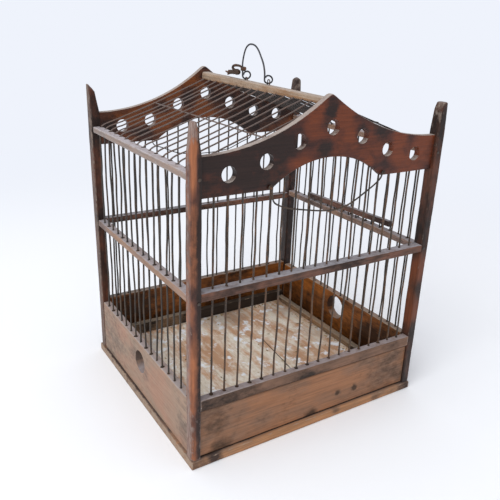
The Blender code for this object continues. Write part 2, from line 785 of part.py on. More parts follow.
def make_lower_rail():
    name = "lower_rail_front"
    end_x = CLEAR_X - FIT_GAP
    face_y = STRIP_INSET - HALF_DEPTH
    tops = (STRIP_TOP_LEFT, STRIP_TOP_RIGHT)
    lows = (STRIP_TOP_LEFT - STRIP_HEIGHT, STRIP_TOP_RIGHT - STRIP_HEIGHT)
    low = (-end_x, face_y)
    high = (end_x, face_y + STRIP_THICKNESS)
    rail = make_piece(name, sloping_mesh(name, low, high, lows, tops), DARK_VARNISH)
    ease_edges(rail, RAIL_EDGE)
    holes = []
    for x in FRONT_XS:
        bottom = strip_top(x) - BAR_SEAT - FIT_GAP
        holes.append(upright(x, -FRONT_ROW_Y, bottom, strip_top(x) + OVERRUN, HOLE_RADIUS))
    drill(rail, holes, 0)
    return rail


def make_tray_front(face_y):
    name = "tray_front"
    end_x = CLEAR_X - TRAY_SIDE_GAP
    drop = STRIP_HEIGHT + TRAY_TOP_GAP
    tops = (STRIP_TOP_LEFT - drop, STRIP_TOP_RIGHT - drop)
    bottom = BASE_THICKNESS + TRAY_FRONT_LIFT
    low = (-end_x, face_y)
    high = (end_x, face_y + TRAY_FRONT_THICKNESS)
    front = make_piece(name, sloping_mesh(name, low, high, (bottom, bottom), tops), BROWN_VARNISH)
    ease_edges(front, TRAY_EDGE)
    return front


def make_tray():
    """The front board, three floor planks on two cleats, and the low rims round them."""
    face_y = TRAY_INSET - HALF_DEPTH
    pieces = [make_tray_front(face_y)]
    start_y = face_y + TRAY_FRONT_THICKNESS + FIT_GAP
    back_y = HALF_DEPTH - BOARD_INSET - BOARD_THICKNESS - FLOOR_BACK_ROOM
    half = HALF_WIDTH - BOARD_INSET - BOARD_THICKNESS - FLOOR_SIDE_ROOM
    seams = [share_between(-half, half, share) for share in SEAM_SHARES]
    for index, name in enumerate(("left", "middle", "right")):
        low = (seams[index] + FIT_GAP / 2, start_y, FLOOR_TOP - PLANK_THICKNESS)
        high = (seams[index + 1] - FIT_GAP / 2, back_y, FLOOR_TOP)
        pieces.append(wood_box("tray_plank_" + name, low, high, PLANK_EDGE, LIMED_WOOD))
    rim_z = FLOOR_TOP + FIT_GAP
    rim_top = rim_z + RIM_HEIGHT
    rim_back = back_y - BACK_STRIP_THICKNESS - FIT_GAP
    for name, side in (("left", -1), ("right", 1)):
        low, high = sided((half - RIM_WIDTH, start_y, rim_z), (half, rim_back, rim_top), 0, side)
        pieces.append(wood_box("tray_rim_" + name, low, high, TRAY_EDGE, TAN_BOARD))
    low = (-half, back_y - BACK_STRIP_THICKNESS, rim_z)
    high = (half, back_y, rim_z + BACK_STRIP_HEIGHT)
    pieces.append(wood_box("tray_back_strip", low, high, TRAY_EDGE, DARK_VARNISH))
    cleat_x = half - CLEAT_SIDE_INSET
    cleat_top = FLOOR_TOP - PLANK_THICKNESS - FIT_GAP
    last_y = back_y - CLEAT_SETBACK - CLEAT_WIDTH
    for name, cleat_y in (("front", start_y + CLEAT_SETBACK), ("back", last_y)):
        low = (-cleat_x, cleat_y, FRAME_Z)
        high = (cleat_x, cleat_y + CLEAT_WIDTH, cleat_top)
        pieces.append(wood_box("tray_cleat_" + name, low, high, PLANK_EDGE, TAN_BOARD))
    return pieces


def make_wall_bars():
    """The fixed wires of the four walls."""
    rods = [
        upright(x, -FRONT_ROW_Y, strip_top(x) - BAR_SEAT, gable_foot(x) + BAR_SEAT, BAR_RADIUS)
        for x in FRONT_XS
    ]
    lace("front_bars", rods, lacing_box(FRONT_XS, -FRONT_ROW_Y, MID_RAIL_FRONT_Z, True, 0), 0)
    foot_z = BACK_BOARD_TOP - BAR_SEAT
    rods = [upright(x, FRONT_ROW_Y, foot_z, gable_foot(x) + BAR_SEAT, BAR_RADIUS) for x in FRONT_XS]
    lace("back_bars", rods, lacing_box(FRONT_XS, FRONT_ROW_Y, MID_RAIL_BACK_Z, True, 0), 0)
    foot_z = SIDE_BOARD_TOP - BAR_SEAT
    head_z = EAVE_RAIL_Z + BAR_SEAT
    full_walls = (
        ("left_bars", -SIDE_ROW_X, SIDE_YS, MID_RAIL_LEFT_Z, foot_z),
        ("right_bars_front", SIDE_ROW_X, FLANK_FRONT_YS, MID_RAIL_RIGHT_Z, foot_z),
        ("right_bars_back", SIDE_ROW_X, FLANK_BACK_YS, MID_RAIL_RIGHT_Z, foot_z),
        ("right_bars_upper", SIDE_ROW_X, DOOR_YS, MID_RAIL_RIGHT_Z, MID_RAIL_RIGHT_Z + FIT_GAP),
    )
    for name, row, places, rail_z, low_z in full_walls:
        rods = [upright(row, y, low_z, head_z, BAR_RADIUS) for y in places]
        lace(name, rods, lacing_box(places, row, rail_z, False, 0), ROD_TURN)


def door_frame():
    """Turns and places what is built level at the door bar's underside."""
    middle_z = MID_RAIL_RIGHT_Z + MID_RAIL_HEIGHT + DOOR_BAR_LIFT
    tilt = math.atan2(-DOOR_BAR_RISE, DOOR_BAR_LENGTH)
    return Matrix.Translation((0, DOOR_BAR_Y, middle_z)) @ Matrix.Rotation(tilt, 4, "X")


def door_underside(y):
    middle_z = MID_RAIL_RIGHT_Z + MID_RAIL_HEIGHT + DOOR_BAR_LIFT
    return middle_z - (y - DOOR_BAR_Y) * DOOR_BAR_RISE / DOOR_BAR_LENGTH


def make_door():
    """A wooden bar inside the wall, with wires that run down through the mid rail."""
    frame = door_frame()
    outer_x = SIDE_ROW_X - BAR_RADIUS - DOOR_RUN_GAP
    half = DOOR_BAR_LENGTH / 2
    low = (outer_x - DOOR_BAR_WIDTH, -half, 0)
    mesh = box_mesh("door_bar", low, (outer_x, half, DOOR_BAR_HEIGHT))
    mesh.transform(frame)
    bar = make_piece("door_bar", mesh, BROWN_VARNISH)
    ease_edges(bar, DOOR_BAR_EDGE)
    places = [y - DOOR_BAR_Y for y in DOOR_YS]
    slot = box_mesh("door_bar_groove", *lacing_box(places, DOOR_ROW_X, 0, False, FIT_GAP))
    slot.transform(frame)
    combine(bar, make_cutter("door_bar_groove", slot), "DIFFERENCE")
    holes = []
    rods = []
    foot_z = SIDE_BOARD_TOP - DOOR_FOOT_SEAT
    for y in DOOR_YS:
        mouth_z = door_underside(y)
        head_z = mouth_z + BAR_SEAT
        holes.append(upright(DOOR_ROW_X, y, mouth_z - OVERRUN, head_z + FIT_GAP, HOLE_RADIUS))
        rods.append(upright(DOOR_ROW_X, y, foot_z, head_z, BAR_RADIUS))
    drill(bar, holes, ROD_TURN)
    wires = lace("door_wires", rods, lacing_box(places, DOOR_ROW_X, 0, False, 0), ROD_TURN)
    wires.data.transform(frame)
    return [bar, wires]


def staple_reach():
    return BAIL_RADIUS + STAPLE_PLAY + STAPLE_RADIUS


def make_staple(name, middle_y):
    """A wire staple driven into the ridge over the lowest stretch of an eye."""
    reach = staple_reach()
    top_z = RIDGE_TOP + FIT_GAP + 2 * BAIL_RADIUS + STAPLE_PLAY + STAPLE_RADIUS
    low_z = RIDGE_TOP - STAPLE_SEAT
    corner = STAPLE_RADIUS
    route = [
        (0, middle_y - reach, low_z), (0, middle_y - reach, top_z - corner),
        (0, middle_y - reach + corner, top_z), (0, middle_y + reach - corner, top_z),
        (0, middle_y + reach, top_z - corner), (0, middle_y + reach, low_z),
    ]
    return smooth(make_piece(name, curve_mesh(name, [route], STAPLE_RADIUS, 1), DARK_WIRE))


def eye_route(middle_y):
    """One turn from the leg, down under the staple, round and back behind the leg."""
    drift = -(2 * BAIL_RADIUS + EYE_OVERLAP_GAP)
    route = []
    for i in range(EYE_STEPS + 1):
        share = i / EYE_STEPS
        turn = math.pi * (1 + 2 * share)
        late = max(0.0, share - EYE_FLAT_SHARE) / (1 - EYE_FLAT_SHARE)
        x = EYE_RADIUS * math.cos(turn)
        z = EYE_Z + EYE_RADIUS * math.sin(turn)
        route.append((x, middle_y + drift * late, z))
    return route


def make_bail():
    arch = []
    for along, up in BAIL_ARCH_SHARES:
        y = share_between(BAIL_BACK_Y, BAIL_FRONT_Y, along)
        arch.append((-EYE_RADIUS, y, EYE_Z + up * BAIL_HEIGHT))
    route = list(reversed(eye_route(BAIL_BACK_Y))) + arch + eye_route(BAIL_FRONT_Y)
    mesh = curve_mesh("bail_handle", [route], BAIL_RADIUS, 1)
    return smooth(make_piece("bail_handle", mesh, DARK_WIRE))


def make_knot():
    """A stiff twist of tie wire: a wrap round the bail's leg, a loop and a tail."""
    centre = Vector((-EYE_RADIUS, BAIL_BACK_Y, EYE_Z + KNOT_WRAP_Z))
    wrap = BAIL_RADIUS + KNOT_WRAP_GAP + KNOT_RADIUS
    route = []
    thickness = []
    for i in range(KNOT_WRAP_STEPS + 1):
        turns = KNOT_WRAP_TURNS * i / KNOT_WRAP_STEPS
        angle = 2 * math.pi * turns - math.pi / 2
        rise = KNOT_WRAP_PITCH * turns
        route.append(centre + Vector((wrap * math.cos(angle), wrap * math.sin(angle), rise)))
        thickness.append(KNOT_WRAP_THICKNESS_SHARE)
    for (along, up, aside), thick in zip(KNOT_ROUTE_SHARES, KNOT_THICKNESS_SHARES):
        place = Vector((aside * KNOT_LENGTH + wrap, along * KNOT_LENGTH, up * KNOT_HEIGHT))
        route.append(centre + place)
        thickness.append(thick)
    mesh = curve_mesh("bail_knot", [route], KNOT_RADIUS, 1, thickness)
    return smooth(make_piece("bail_knot", mesh, RUSTY_TIE))


def arch_wire_y():
    return -(GABLE_FACE_Y + ARCH_WIRE_GAP + ARCH_WIRE_RADIUS)


def arch_nail_place(side):
    return side * (ARCH_HALF_SPAN + ARCH_NAIL_OUT), GABLE_FOOT + ARCH_NAIL_UP


def make_arch_wire():
    """A wire hung from two nails at the corners of the front arch."""
    hook = NAIL_RADIUS + FIT_GAP + ARCH_WIRE_RADIUS
    y = arch_wire_y()
    nail_x, nail_z = arch_nail_place(1)
    inner = nail_x - hook
    swag = []
    for i in range(ARCH_WIRE_STEPS + 1):
        share = 2 * i / ARCH_WIRE_STEPS - 1
        swag.append((inner * share, y, nail_z - ARCH_WIRE_SAG * (1 - share ** 2)))
    turns = [math.pi * i / HOOK_STEPS for i in range(1, HOOK_STEPS + 2)]
    right = [(nail_x - hook * math.cos(a), y, nail_z + hook * math.sin(a)) for a in turns]
    left = [(-x, y, z) for x, y, z in reversed(right)]
    mesh = curve_mesh("arch_wire", [left + swag + right], ARCH_WIRE_RADIUS, 1)
    return smooth(make_piece("arch_wire", mesh, RUSTY_WIRE))


def make_nail(name, tip, head):
    """A round nail whose head stands at the given place, turned away from its tip."""
    tip = Vector(tip)
    head = Vector(head)
    aim = (head - tip).normalized()
    disc = [(head, head + aim * NAIL_HEAD_THICKNESS, NAIL_HEAD_RADIUS)]
    nail = make_piece(name, rods_mesh(name, disc, 0), DARK_WIRE)
    label = name + "_shank"
    shank = [(tip, head + aim * NAIL_HEAD_THICKNESS / 2, NAIL_RADIUS)]
    combine(nail, make_cutter(label, rods_mesh(label, shank, 0)), "UNION")
    return smooth(nail)


def make_arch_nails(gable):
    holes = []
    head_y = arch_wire_y() - ARCH_WIRE_RADIUS - FIT_GAP
    for name, side in (("left", -1), ("right", 1)):
        x, z = arch_nail_place(side)
        tip_y = -GABLE_FACE_Y + ARCH_NAIL_SEAT
        make_nail("arch_nail_" + name, (x, tip_y, z), (x, head_y, z))
        holes.append(((x, tip_y + FIT_GAP, z), (x, -GABLE_FACE_Y - OVERRUN, z), NAIL_RADIUS + FIT_GAP))
    drill(gable, holes, 0)


def make_rail_nails():
    for x_name, side_x in (("left", -1), ("right", 1)):
        for rail_name, z in rail_nail_heights(side_x).items():
            for y_name, side_y in (("front", -1), ("back", 1)):
                name = "nail_" + rail_name + "_" + y_name + "_" + x_name
                x = side_x * RAIL_MID_X
                tip = (x, side_y * (HALF_DEPTH - RAIL_NAIL_LENGTH), z)
                make_nail(name, tip, (x, side_y * (HALF_DEPTH + FIT_GAP), z))


def hang(pieces, name, place):
    """Hold moving pieces by an empty that lies on their joint's axis."""
    pivot = bpy.data.objects.new(name, None)
    CAGE.objects.link(pivot)
    pivot.location = place
    for piece in pieces:
        piece.parent = pivot
        piece.matrix_parent_inverse = Matrix.Translation(-Vector(place))


def make_frame():
    make_base()
    make_post("post_front_left", -1, -1, GABLE_SHOULDER + POST_RISE_FRONT_LEFT)
    make_post("post_front_right", 1, -1, GABLE_SHOULDER + POST_RISE_FRONT_RIGHT)
    make_post("post_back_left", -1, 1, GABLE_SHOULDER + POST_RISE_BACK_LEFT)
    make_post("post_back_right", 1, 1, GABLE_SHOULDER + POST_RISE_BACK_RIGHT)
    make_mid_rail_end("mid_rail_front", -1, MID_RAIL_FRONT_Z)
    make_mid_rail_end("mid_rail_back", 1, MID_RAIL_BACK_Z)
    make_mid_rail_side("mid_rail_left", -1, MID_RAIL_LEFT_Z, WORN_WOOD)
    make_mid_rail_side("mid_rail_right", 1, MID_RAIL_RIGHT_Z, BROWN_VARNISH)
    make_eave_rail("eave_rail_left", -1)
    make_eave_rail("eave_rail_right", 1)
    make_side_board("lower_board_left", -1, FEEDER_LEFT_Y, FEEDER_LEFT_Z, TAN_BOARD)
    make_side_board("lower_board_right", 1, FEEDER_RIGHT_Y, FEEDER_RIGHT_Z, BROWN_VARNISH)
    make_back_board()
    make_lower_rail()
    make_ridge()
    make_gable("gable_back", 1, BACK_PIERCING_SHARES)
    make_arch_nails(make_gable("gable_front", -1, FRONT_PIERCING_SHARES))
    make_rail_nails()


def make_wires():
    make_wall_bars()
    make_roof("roof_bars_left", -1)
    make_roof("roof_bars_right", 1)
    make_arch_wire()
    make_staple("bail_staple_back", BAIL_BACK_Y)
    make_staple("bail_staple_front", BAIL_FRONT_Y)


def make_moving_pieces():
    hang(make_tray(), "tray_slide", (0, -HALF_DEPTH, BASE_THICKNESS))
    hang(make_door(), "door_slide", (DOOR_ROW_X, DOOR_BAR_Y, SIDE_BOARD_TOP))
    hang([make_bail(), make_knot()], "bail_axis", (0, BAIL_BACK_Y, EYE_Z))


make_frame()
make_wires()
make_moving_pieces()
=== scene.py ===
# %% [markdown]
# # An old wooden bird cage
# A small cage of hand-planed, shellacked wood and iron wire, worn by years of handling.
# Its solids come ready packed, so this lesson gives them their real looks: rounded and
# chipped edges, wood grain, rust, and the small bends of wire that was set by hand.
# All sizes are in metres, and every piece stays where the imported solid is.

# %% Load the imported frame
import json
import math
import random

import bmesh
import bpy
from mathutils import Matrix, Vector, noise


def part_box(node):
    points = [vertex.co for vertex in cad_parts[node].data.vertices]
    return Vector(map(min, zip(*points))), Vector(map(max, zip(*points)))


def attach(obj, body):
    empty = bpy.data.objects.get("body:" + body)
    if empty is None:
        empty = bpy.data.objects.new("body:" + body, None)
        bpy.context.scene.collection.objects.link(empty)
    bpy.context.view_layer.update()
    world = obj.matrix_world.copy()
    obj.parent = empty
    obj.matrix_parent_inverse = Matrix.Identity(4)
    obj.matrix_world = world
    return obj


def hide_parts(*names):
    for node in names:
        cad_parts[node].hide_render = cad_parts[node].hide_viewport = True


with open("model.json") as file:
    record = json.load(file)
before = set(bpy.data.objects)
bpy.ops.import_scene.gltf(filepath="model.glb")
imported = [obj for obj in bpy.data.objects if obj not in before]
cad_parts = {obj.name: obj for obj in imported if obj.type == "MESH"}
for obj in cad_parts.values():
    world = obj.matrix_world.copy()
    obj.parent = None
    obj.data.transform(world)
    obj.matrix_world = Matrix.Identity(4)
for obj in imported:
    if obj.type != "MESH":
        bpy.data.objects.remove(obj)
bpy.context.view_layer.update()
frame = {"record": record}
MM = 0.001

# %% [markdown]
# The camera stands where the picture was taken from. Its place, turns and lens were worked
# out from the straight edges of the cage, so the solids fall on their own picture.

# %% Camera
CAMERA_PLACE = Vector((-358.98, -553.02, 413.04)) * MM
CAMERA_AZIMUTH = math.radians(-32.689)
CAMERA_ELEVATION = math.radians(21.036)
CAMERA_ROLL = math.radians(2.144)
CAMERA_LENS = 43.246
CAMERA_SENSOR = 36.0


def camera_turn():
    """The camera's axes as the columns of a matrix, from its two view angles and its roll."""
    flat = math.cos(CAMERA_ELEVATION)
    back = Vector((math.sin(CAMERA_AZIMUTH) * flat, -math.cos(CAMERA_AZIMUTH) * flat,
                   math.sin(CAMERA_ELEVATION)))
    right = Vector((0, 0, 1)).cross(back).normalized()
    up = back.cross(right)
    cosine, sine = math.cos(CAMERA_ROLL), math.sin(CAMERA_ROLL)
    turn = Matrix((cosine * right + sine * up, cosine * up - sine * right, back))
    return turn.transposed()


camera_data = bpy.data.cameras.new("photo_camera")
camera_data.lens = CAMERA_LENS
camera_data.sensor_width = CAMERA_SENSOR
camera_data.clip_start = 0.01
camera = bpy.data.objects.new("photo_camera", camera_data)
camera.matrix_world = Matrix.Translation(CAMERA_PLACE) @ camera_turn().to_4x4()
bpy.context.scene.collection.objects.link(camera)
bpy.context.scene.camera = camera
print("Camera at", [round(x, 3) for x in camera.location])

# %% [markdown]
# Every shader and every geometry tree is built from the same step: make a node, give it its
# settings, and set or link its inputs. One function does that step for all of them.
# Colours are written as they look on a screen, and one function turns them to linear light.

# %% Helpers for nodes and colours


def linear(hex_colour):
    """A screen colour such as 6B4A36 as linear red, green, blue and alpha."""
    channels = [int(hex_colour[i:i + 2], 16) / 255 for i in (0, 2, 4)]
    return [c / 12.92 if c <= 0.04045 else ((c + 0.055) / 1.055) ** 2.4 for c in channels] + [1.0]


def feed(tree, node, inputs):
    """Links the sockets and sets the plain values given for a node's inputs."""
    for key, value in inputs.items():
        if isinstance(value, bpy.types.NodeSocket):
            tree.links.new(value, node.inputs[key])
        else:
            node.inputs[key].default_value = value


def add(tree, kind, inputs=None, **settings):
    """A new node with its settings made and its inputs set or linked."""
    made = tree.nodes.new(kind)
    for key, value in settings.items():
        setattr(made, key, value)
    feed(tree, made, inputs or {})
    return made


def new_material(name):
    """An empty material with its output and a Principled shader."""
    material = bpy.data.materials.new(name)
    material.use_nodes = True
    tree = material.node_tree
    return material, tree, tree.nodes["Principled BSDF"]


def mixed(tree, share, first, second, blend="MIX"):
    """The colour socket of a mix of two colours."""
    made = add(tree, "ShaderNodeMix", {0: share, 6: first, 7: second}, data_type="RGBA", blend_type=blend)
    return made.outputs[2]


def ranged(tree, value, low, high, to_low=0.0, to_high=1.0):
    """A value brought from one range to another, held at its ends."""
    made = add(tree, "ShaderNodeMapRange", {0: value, 1: low, 2: high, 3: to_low, 4: to_high})
    return made.outputs[0]


def maths(tree, operation, first, second=0.0):
    return add(tree, "ShaderNodeMath", {0: first, 1: second}, operation=operation).outputs[0]


def plus(tree, first, second):
    return maths(tree, "ADD", first, second)


def minus(tree, first, second):
    return maths(tree, "SUBTRACT", first, second)


def times(tree, first, second):
    return maths(tree, "MULTIPLY", first, second)


def stored(tree, name, output="Fac"):
    """An attribute that was painted on the mesh."""
    return add(tree, "ShaderNodeAttribute", attribute_name=name).outputs[output]


def object_place(tree):
    return add(tree, "ShaderNodeTexCoord").outputs["Object"]


def bumps(tree, height, strength, depth):
    return add(tree, "ShaderNodeBump", {"Strength": strength, "Distance": depth, "Height": height}).outputs[0]


# %% [markdown]
# The studio is plain: a pale floor, one big soft lamp high on the left, and an even sky.
# Far from the cage the floor fades into the sky's own colour, so that no horizon shows and
# only the soft shadow under the cage remains.

# %% Floor, sky and lamp
FLOOR_COLOUR = linear("FAFCFE")
SKY_COLOUR = linear("EFF3FC")
SKY_GLOW = linear("F7F8FE")
SKY_LIGHT = 0.80
SKY_SHEEN = 0.55            # how bright the sky shows in a gloss, since a real room has dark parts too
LAMP_PLACE = Vector((-1.70, -0.70, 1.70))
LAMP_TARGET = Vector((0.0, 0.0, 0.15))
LAMP_SIZE = 1.8
LAMP_POWER = 35.5
FLOOR_REACH = 30.0
FADE_START = 0.25
FADE_END = 1.4


def make_floor():
    mesh = bpy.data.meshes.new("floor")
    reach = FLOOR_REACH
    corners = [(-reach, -reach, 0), (reach, -reach, 0), (reach, reach, 0), (-reach, reach, 0)]
    mesh.from_pydata(corners, [], [(0, 1, 2, 3)])
    floor = bpy.data.objects.new("floor", mesh)
    bpy.context.scene.collection.objects.link(floor)
    material, tree, shader = new_material("matt_paper_floor")
    feed(tree, shader, {"Base Color": FLOOR_COLOUR, "Roughness": 0.9, "Specular IOR Level": 0.1})
    away = add(tree, "ShaderNodeVectorMath", {0: object_place(tree)}, operation="LENGTH").outputs["Value"]
    fade = add(tree, "ShaderNodeMapRange", {0: away, 1: FADE_START, 2: FADE_END},
               interpolation_type="SMOOTHERSTEP")
    glow = add(tree, "ShaderNodeEmission", {"Color": SKY_COLOUR, "Strength": 1.0})
    blend = add(tree, "ShaderNodeMixShader", {0: fade.outputs[0], 1: shader.outputs[0], 2: glow.outputs[0]})
    feed(tree, tree.nodes["Material Output"], {"Surface": blend.outputs[0]})
    mesh.materials.append(material)


def make_sky():
    world = bpy.data.worlds.new("studio")
    world.use_nodes = True
    tree = world.node_tree
    tree.nodes.clear()
    path = add(tree, "ShaderNodeLightPath")
    seen = path.outputs["Is Camera Ray"]
    glossy = ranged(tree, path.outputs["Is Glossy Ray"], 0.0, 1.0, SKY_LIGHT, SKY_SHEEN)
    strength = add(tree, "ShaderNodeMix", {0: seen, 2: glossy, 3: 1.0}).outputs[0]
    colour = mixed(tree, seen, SKY_GLOW, SKY_COLOUR)
    sky = add(tree, "ShaderNodeBackground", {"Color": colour, "Strength": strength})
    add(tree, "ShaderNodeOutputWorld", {"Surface": sky.outputs[0]})
    bpy.context.scene.world = world


def make_lamp():
    data = bpy.data.lights.new("soft_lamp", "AREA")
    data.size = LAMP_SIZE
    data.energy = LAMP_POWER
    lamp = bpy.data.objects.new("soft_lamp", data)
    lamp.location = LAMP_PLACE
    lamp.rotation_euler = (LAMP_TARGET - LAMP_PLACE).to_track_quat("-Z", "Y").to_euler()
    bpy.context.scene.collection.objects.link(lamp)


make_floor()
make_sky()
make_lamp()
bpy.context.scene.view_settings.view_transform = "Standard"
print("Studio ready")

# %% [markdown]
# ## Old shellacked wood
# The frame is softwood stained and shellacked long ago. Shellac is thin, so the grain still
# shows: fine streaks along the wood, broad warm and dark blotches, and bare wood where hands
# and feet rubbed the edges. Whatever faces up is painted grey: partly dust, partly a painted
# reflection of the sky's sheen on the tops.
# Each wooden piece carries three attributes that the shader reads. "grain" is the place on
# the piece with the grain's direction first, "worn" says how rubbed a spot is, and "dark" how stained.
# On some pieces "dark" also holds painted shade, and "worn" painted light on faces that look up.

# %% The wood shader
GRAIN_LENGTH = 38 * MM      # how long a streak runs
GRAIN_WIDTH = 1.5 * MM      # across one streak, drawn twice as coarse as real so that it shows
FIBRE_LENGTH = 9 * MM
FIBRE_WIDTH = 0.45 * MM
BLOTCH_SIZE = 26 * MM
SCUFF_SIZE = 5 * MM
WOOD_SHEEN = 0.28           # old shellac is dull, so it mirrors less than fresh varnish


def stretched_noise(tree, place, sizes, detail, roughness=0.55, offset=0.0):
    """Noise whose cells have the given real sizes along, across and through the grain."""
    scaled = add(tree, "ShaderNodeVectorMath", {0: place, 1: [1 / s for s in sizes]}, operation="MULTIPLY")
    moved = add(tree, "ShaderNodeVectorMath", {0: scaled.outputs[0], 1: [offset] * 3}, operation="ADD")
    made = add(tree, "ShaderNodeTexNoise", {
        "Vector": moved.outputs[0], "Scale": 1.0, "Detail": detail, "Roughness": roughness})
    return made.outputs["Fac"]


def wood(name, deep, middle, warm, bare, dust_sheen_tone, gloss, dust_sheen_share=0.7, grain_share=0.5, soot_share=1.0):
    """Shellacked wood in five tones: deep, middle and warm shellac, bare wood, and a dusty grey on faces that
    look up, which also paints in the sky's sheen.
    """
    material, tree, shader = new_material(name)
    place, worn, dark = stored(tree, "grain", "Vector"), stored(tree, "worn"), stored(tree, "dark")
    streaks = stretched_noise(tree, place, (GRAIN_LENGTH, GRAIN_WIDTH, GRAIN_WIDTH), 3)
    fibres = stretched_noise(tree, place, (FIBRE_LENGTH, FIBRE_WIDTH, FIBRE_WIDTH), 2, offset=3.0)
    blotch = stretched_noise(tree, place, (BLOTCH_SIZE * 2, BLOTCH_SIZE, BLOTCH_SIZE), 4, 0.6, 7.0)
    scuff = stretched_noise(tree, place, (SCUFF_SIZE * 1.6, SCUFF_SIZE, SCUFF_SIZE), 5, 0.65, 11.0)
    glow = plus(tree, ranged(tree, blotch, 0.43, 0.64), ranged(tree, dark, 0.0, -1.0))
    colour = mixed(tree, ranged(tree, glow, 0.0, 1.0), linear(middle), linear(warm))
    # The dark attribute brings in stains and, on some pieces, painted shade.
    soot_and_shade = plus(tree, ranged(tree, blotch, 0.47, 0.30, 0.0, soot_share), dark)
    soot_and_shade = plus(tree, soot_and_shade, ranged(tree, scuff, 0.35, 0.65, -0.25, 0.25))
    colour = mixed(tree, ranged(tree, soot_and_shade, 0.05, 0.95), colour, linear(deep))
    shade = ranged(tree, streaks, 0.30, 0.68, 1.0 - grain_share, 1.0 + grain_share * 0.45)
    shade = add(tree, "ShaderNodeCombineColor", {0: shade, 1: shade, 2: shade}).outputs[0]
    colour = mixed(tree, 1.0, colour, shade, "MULTIPLY")
    # On the gables and the ridge, worn also carries painted light on faces that look up.
    rubbed = plus(tree, worn, ranged(tree, scuff, 0.30, 0.70, -0.42, 0.30))
    rubbed = plus(tree, rubbed, ranged(tree, fibres, 0.35, 0.65, -0.10, 0.10))
    rubbed = ranged(tree, rubbed, 0.42, 0.72)
    bare_tone = mixed(tree, ranged(tree, fibres, 0.32, 0.70), linear(bare), linear(middle))
    colour = mixed(tree, times(tree, rubbed, 0.85), colour, bare_tone)
    # The grey on faces that look up is partly dust and partly a painted reflection of the sky's sheen.
    up = add(tree, "ShaderNodeSeparateXYZ", {0: add(tree, "ShaderNodeNewGeometry").outputs["Normal"]})
    dust_and_sheen = times(tree, ranged(tree, up.outputs[2], 0.55, 0.92), dust_sheen_share)
    dust_and_sheen = times(tree, dust_and_sheen, ranged(tree, scuff, 0.30, 0.55, 0.35, 1.0))
    dust_and_sheen = times(tree, dust_and_sheen, ranged(tree, dark, 0.8, 1.4, 1.0, 0.08))
    colour = mixed(tree, dust_and_sheen, colour, linear(dust_sheen_tone))
    rough = plus(tree, ranged(tree, scuff, 0.3, 0.7, gloss - 0.08, gloss + 0.14), times(tree, rubbed, 0.28))
    rough = plus(tree, rough, times(tree, dust_and_sheen, 0.18))
    height = plus(tree, times(tree, fibres, 0.5), times(tree, streaks, 0.6))
    height = plus(tree, height, times(tree, scuff, 0.7))
    feed(tree, shader, {
        "Base Color": colour, "Roughness": rough, "IOR": 1.5, "Specular IOR Level": WOOD_SHEEN,
        "Normal": bumps(tree, height, 0.45, 0.35 * MM)})
    return material


DARK_SHELLAC = wood("dark_shellac_on_pine", "261914", "482E23", "6A3A24", "998C80", "857A78", 0.42, 0.6, 0.35)
# Its warm tone is partly a painted highlight on the front-left post's round corner.
HANDLED_POST_WITH_HIGHLIGHT = wood("handled_shellac_post_painted_highlight", "2A1C17", "54342A", "9A5F3E", "A1948C", "8A8080",
                    0.42, 0.6, 0.30, 0.6)
GABLE_SHELLAC = wood("mottled_shellac_gable", "2A1A15", "45231A", "6C341A", "AFA298", "A99E96",
                     0.36, 0.9, 0.26)
BACK_GABLE = wood("warm_shellac_gable", "291B17", "42271F", "74401F", "AFA298", "A99E96", 0.40, 0.9, 0.26)
BROWN_SHELLAC = wood("brown_shellac_on_pine", "33221B", "5C4236", "7A503E", "A39588", "A3A1A6", 0.48, 0.85)
FRONT_BOARD = wood("thin_shellac_front_board", "4A3424", "80604B", "97694A", "A48A77", "857872",
                   0.52, 0.5, 0.26, 0.5)
FRONT_STRIP = wood("dusty_dark_front_strip", "33271F", "6C5242", "80604C", "ACA29C", "A09696",
                   0.60, 0.75, 0.26, 0.6)
WORN_RAIL = wood("worn_stained_batten", "574841", "857068", "96765F", "A8A09C", "A8A5AA",
                 0.58, 0.75, 0.30, 0.7)
GREY_RAIL = wood("dusty_grey_batten", "5A504B", "897C75", "957D6E", "B3ADAC", "B4AEB2", 0.62, 0.85, 0.26, 0.6)
PALE_RIDGE = wood("bare_ridge_painted_light_and_shade", "74563E", "A08C78", "8E6C4E", "B5A99C", "B2A9A2",
                  0.55, 0.5, 0.26, 0.3)
SIDE_BOARD = wood("faded_pink_board", "5F5048", "957F6D", "9E7B67", "AEA298", "A39C9E", 0.62, 0.6, 0.24, 0.35)
BASE_BOARD = wood("scuffed_base_board", "3E2E27", "8A6B54", "A97A54", "AFA08F", "8E8784",
                  0.60, 0.15, 0.30, 0.6)
TRAY_RIM = wood("dusty_rim_batten", "30261E", "846C54", "8E6C4C", "AB9C8A", "9A8E7E", 0.62, 0.5, 0.35)
INNER_SHELLAC = wood("glossy_orange_shellac", "38200F", "74441F", "9A5C28", "A8967F", "9A9086",
                     0.36, 0.6, 0.40)
print("Wood finishes:", len([m for m in bpy.data.materials if m.use_nodes]) - 1)

# %% [markdown]
# ## Worn battens and boards
# A hand-planed batten is nearly a box, but never quite: its edges are rounded unevenly, with
# small chips, and its faces roll a little. Each wooden piece is lofted: a rounded rectangle is
# laid down every few millimetres along the wood, with corner radii that noise varies, and the
# rings are skinned. That gives dense, clean quads that carry the wear attributes well.

# %% Rings, lofts and paint
RING_CELL = 3.2 * MM        # length of a face across the piece
STATION = 2.6 * MM          # step from ring to ring
EDGE_BAND = 0.9 * MM        # first loop beside a rounded corner
CORNER_STEPS = 3
FACE_ROLL = 0.10 * MM
ROLL_LENGTH = 22 * MM
CHIP_LENGTH = 4.5 * MM
SHARP_ANGLE = math.radians(38)


def side_shares(length, radius):
    """Where the points of one straight side lie: near both corners, then even steps."""
    straight = max(length - 2 * radius, 0.2 * MM)
    band = min(EDGE_BAND / straight, 0.3)
    inner = max(int(round(straight / RING_CELL)) - 1, 0)
    middle = [band + (1 - 2 * band) * (i + 1) / (inner + 1) for i in range(inner)]
    return [band] + middle + [1 - band]


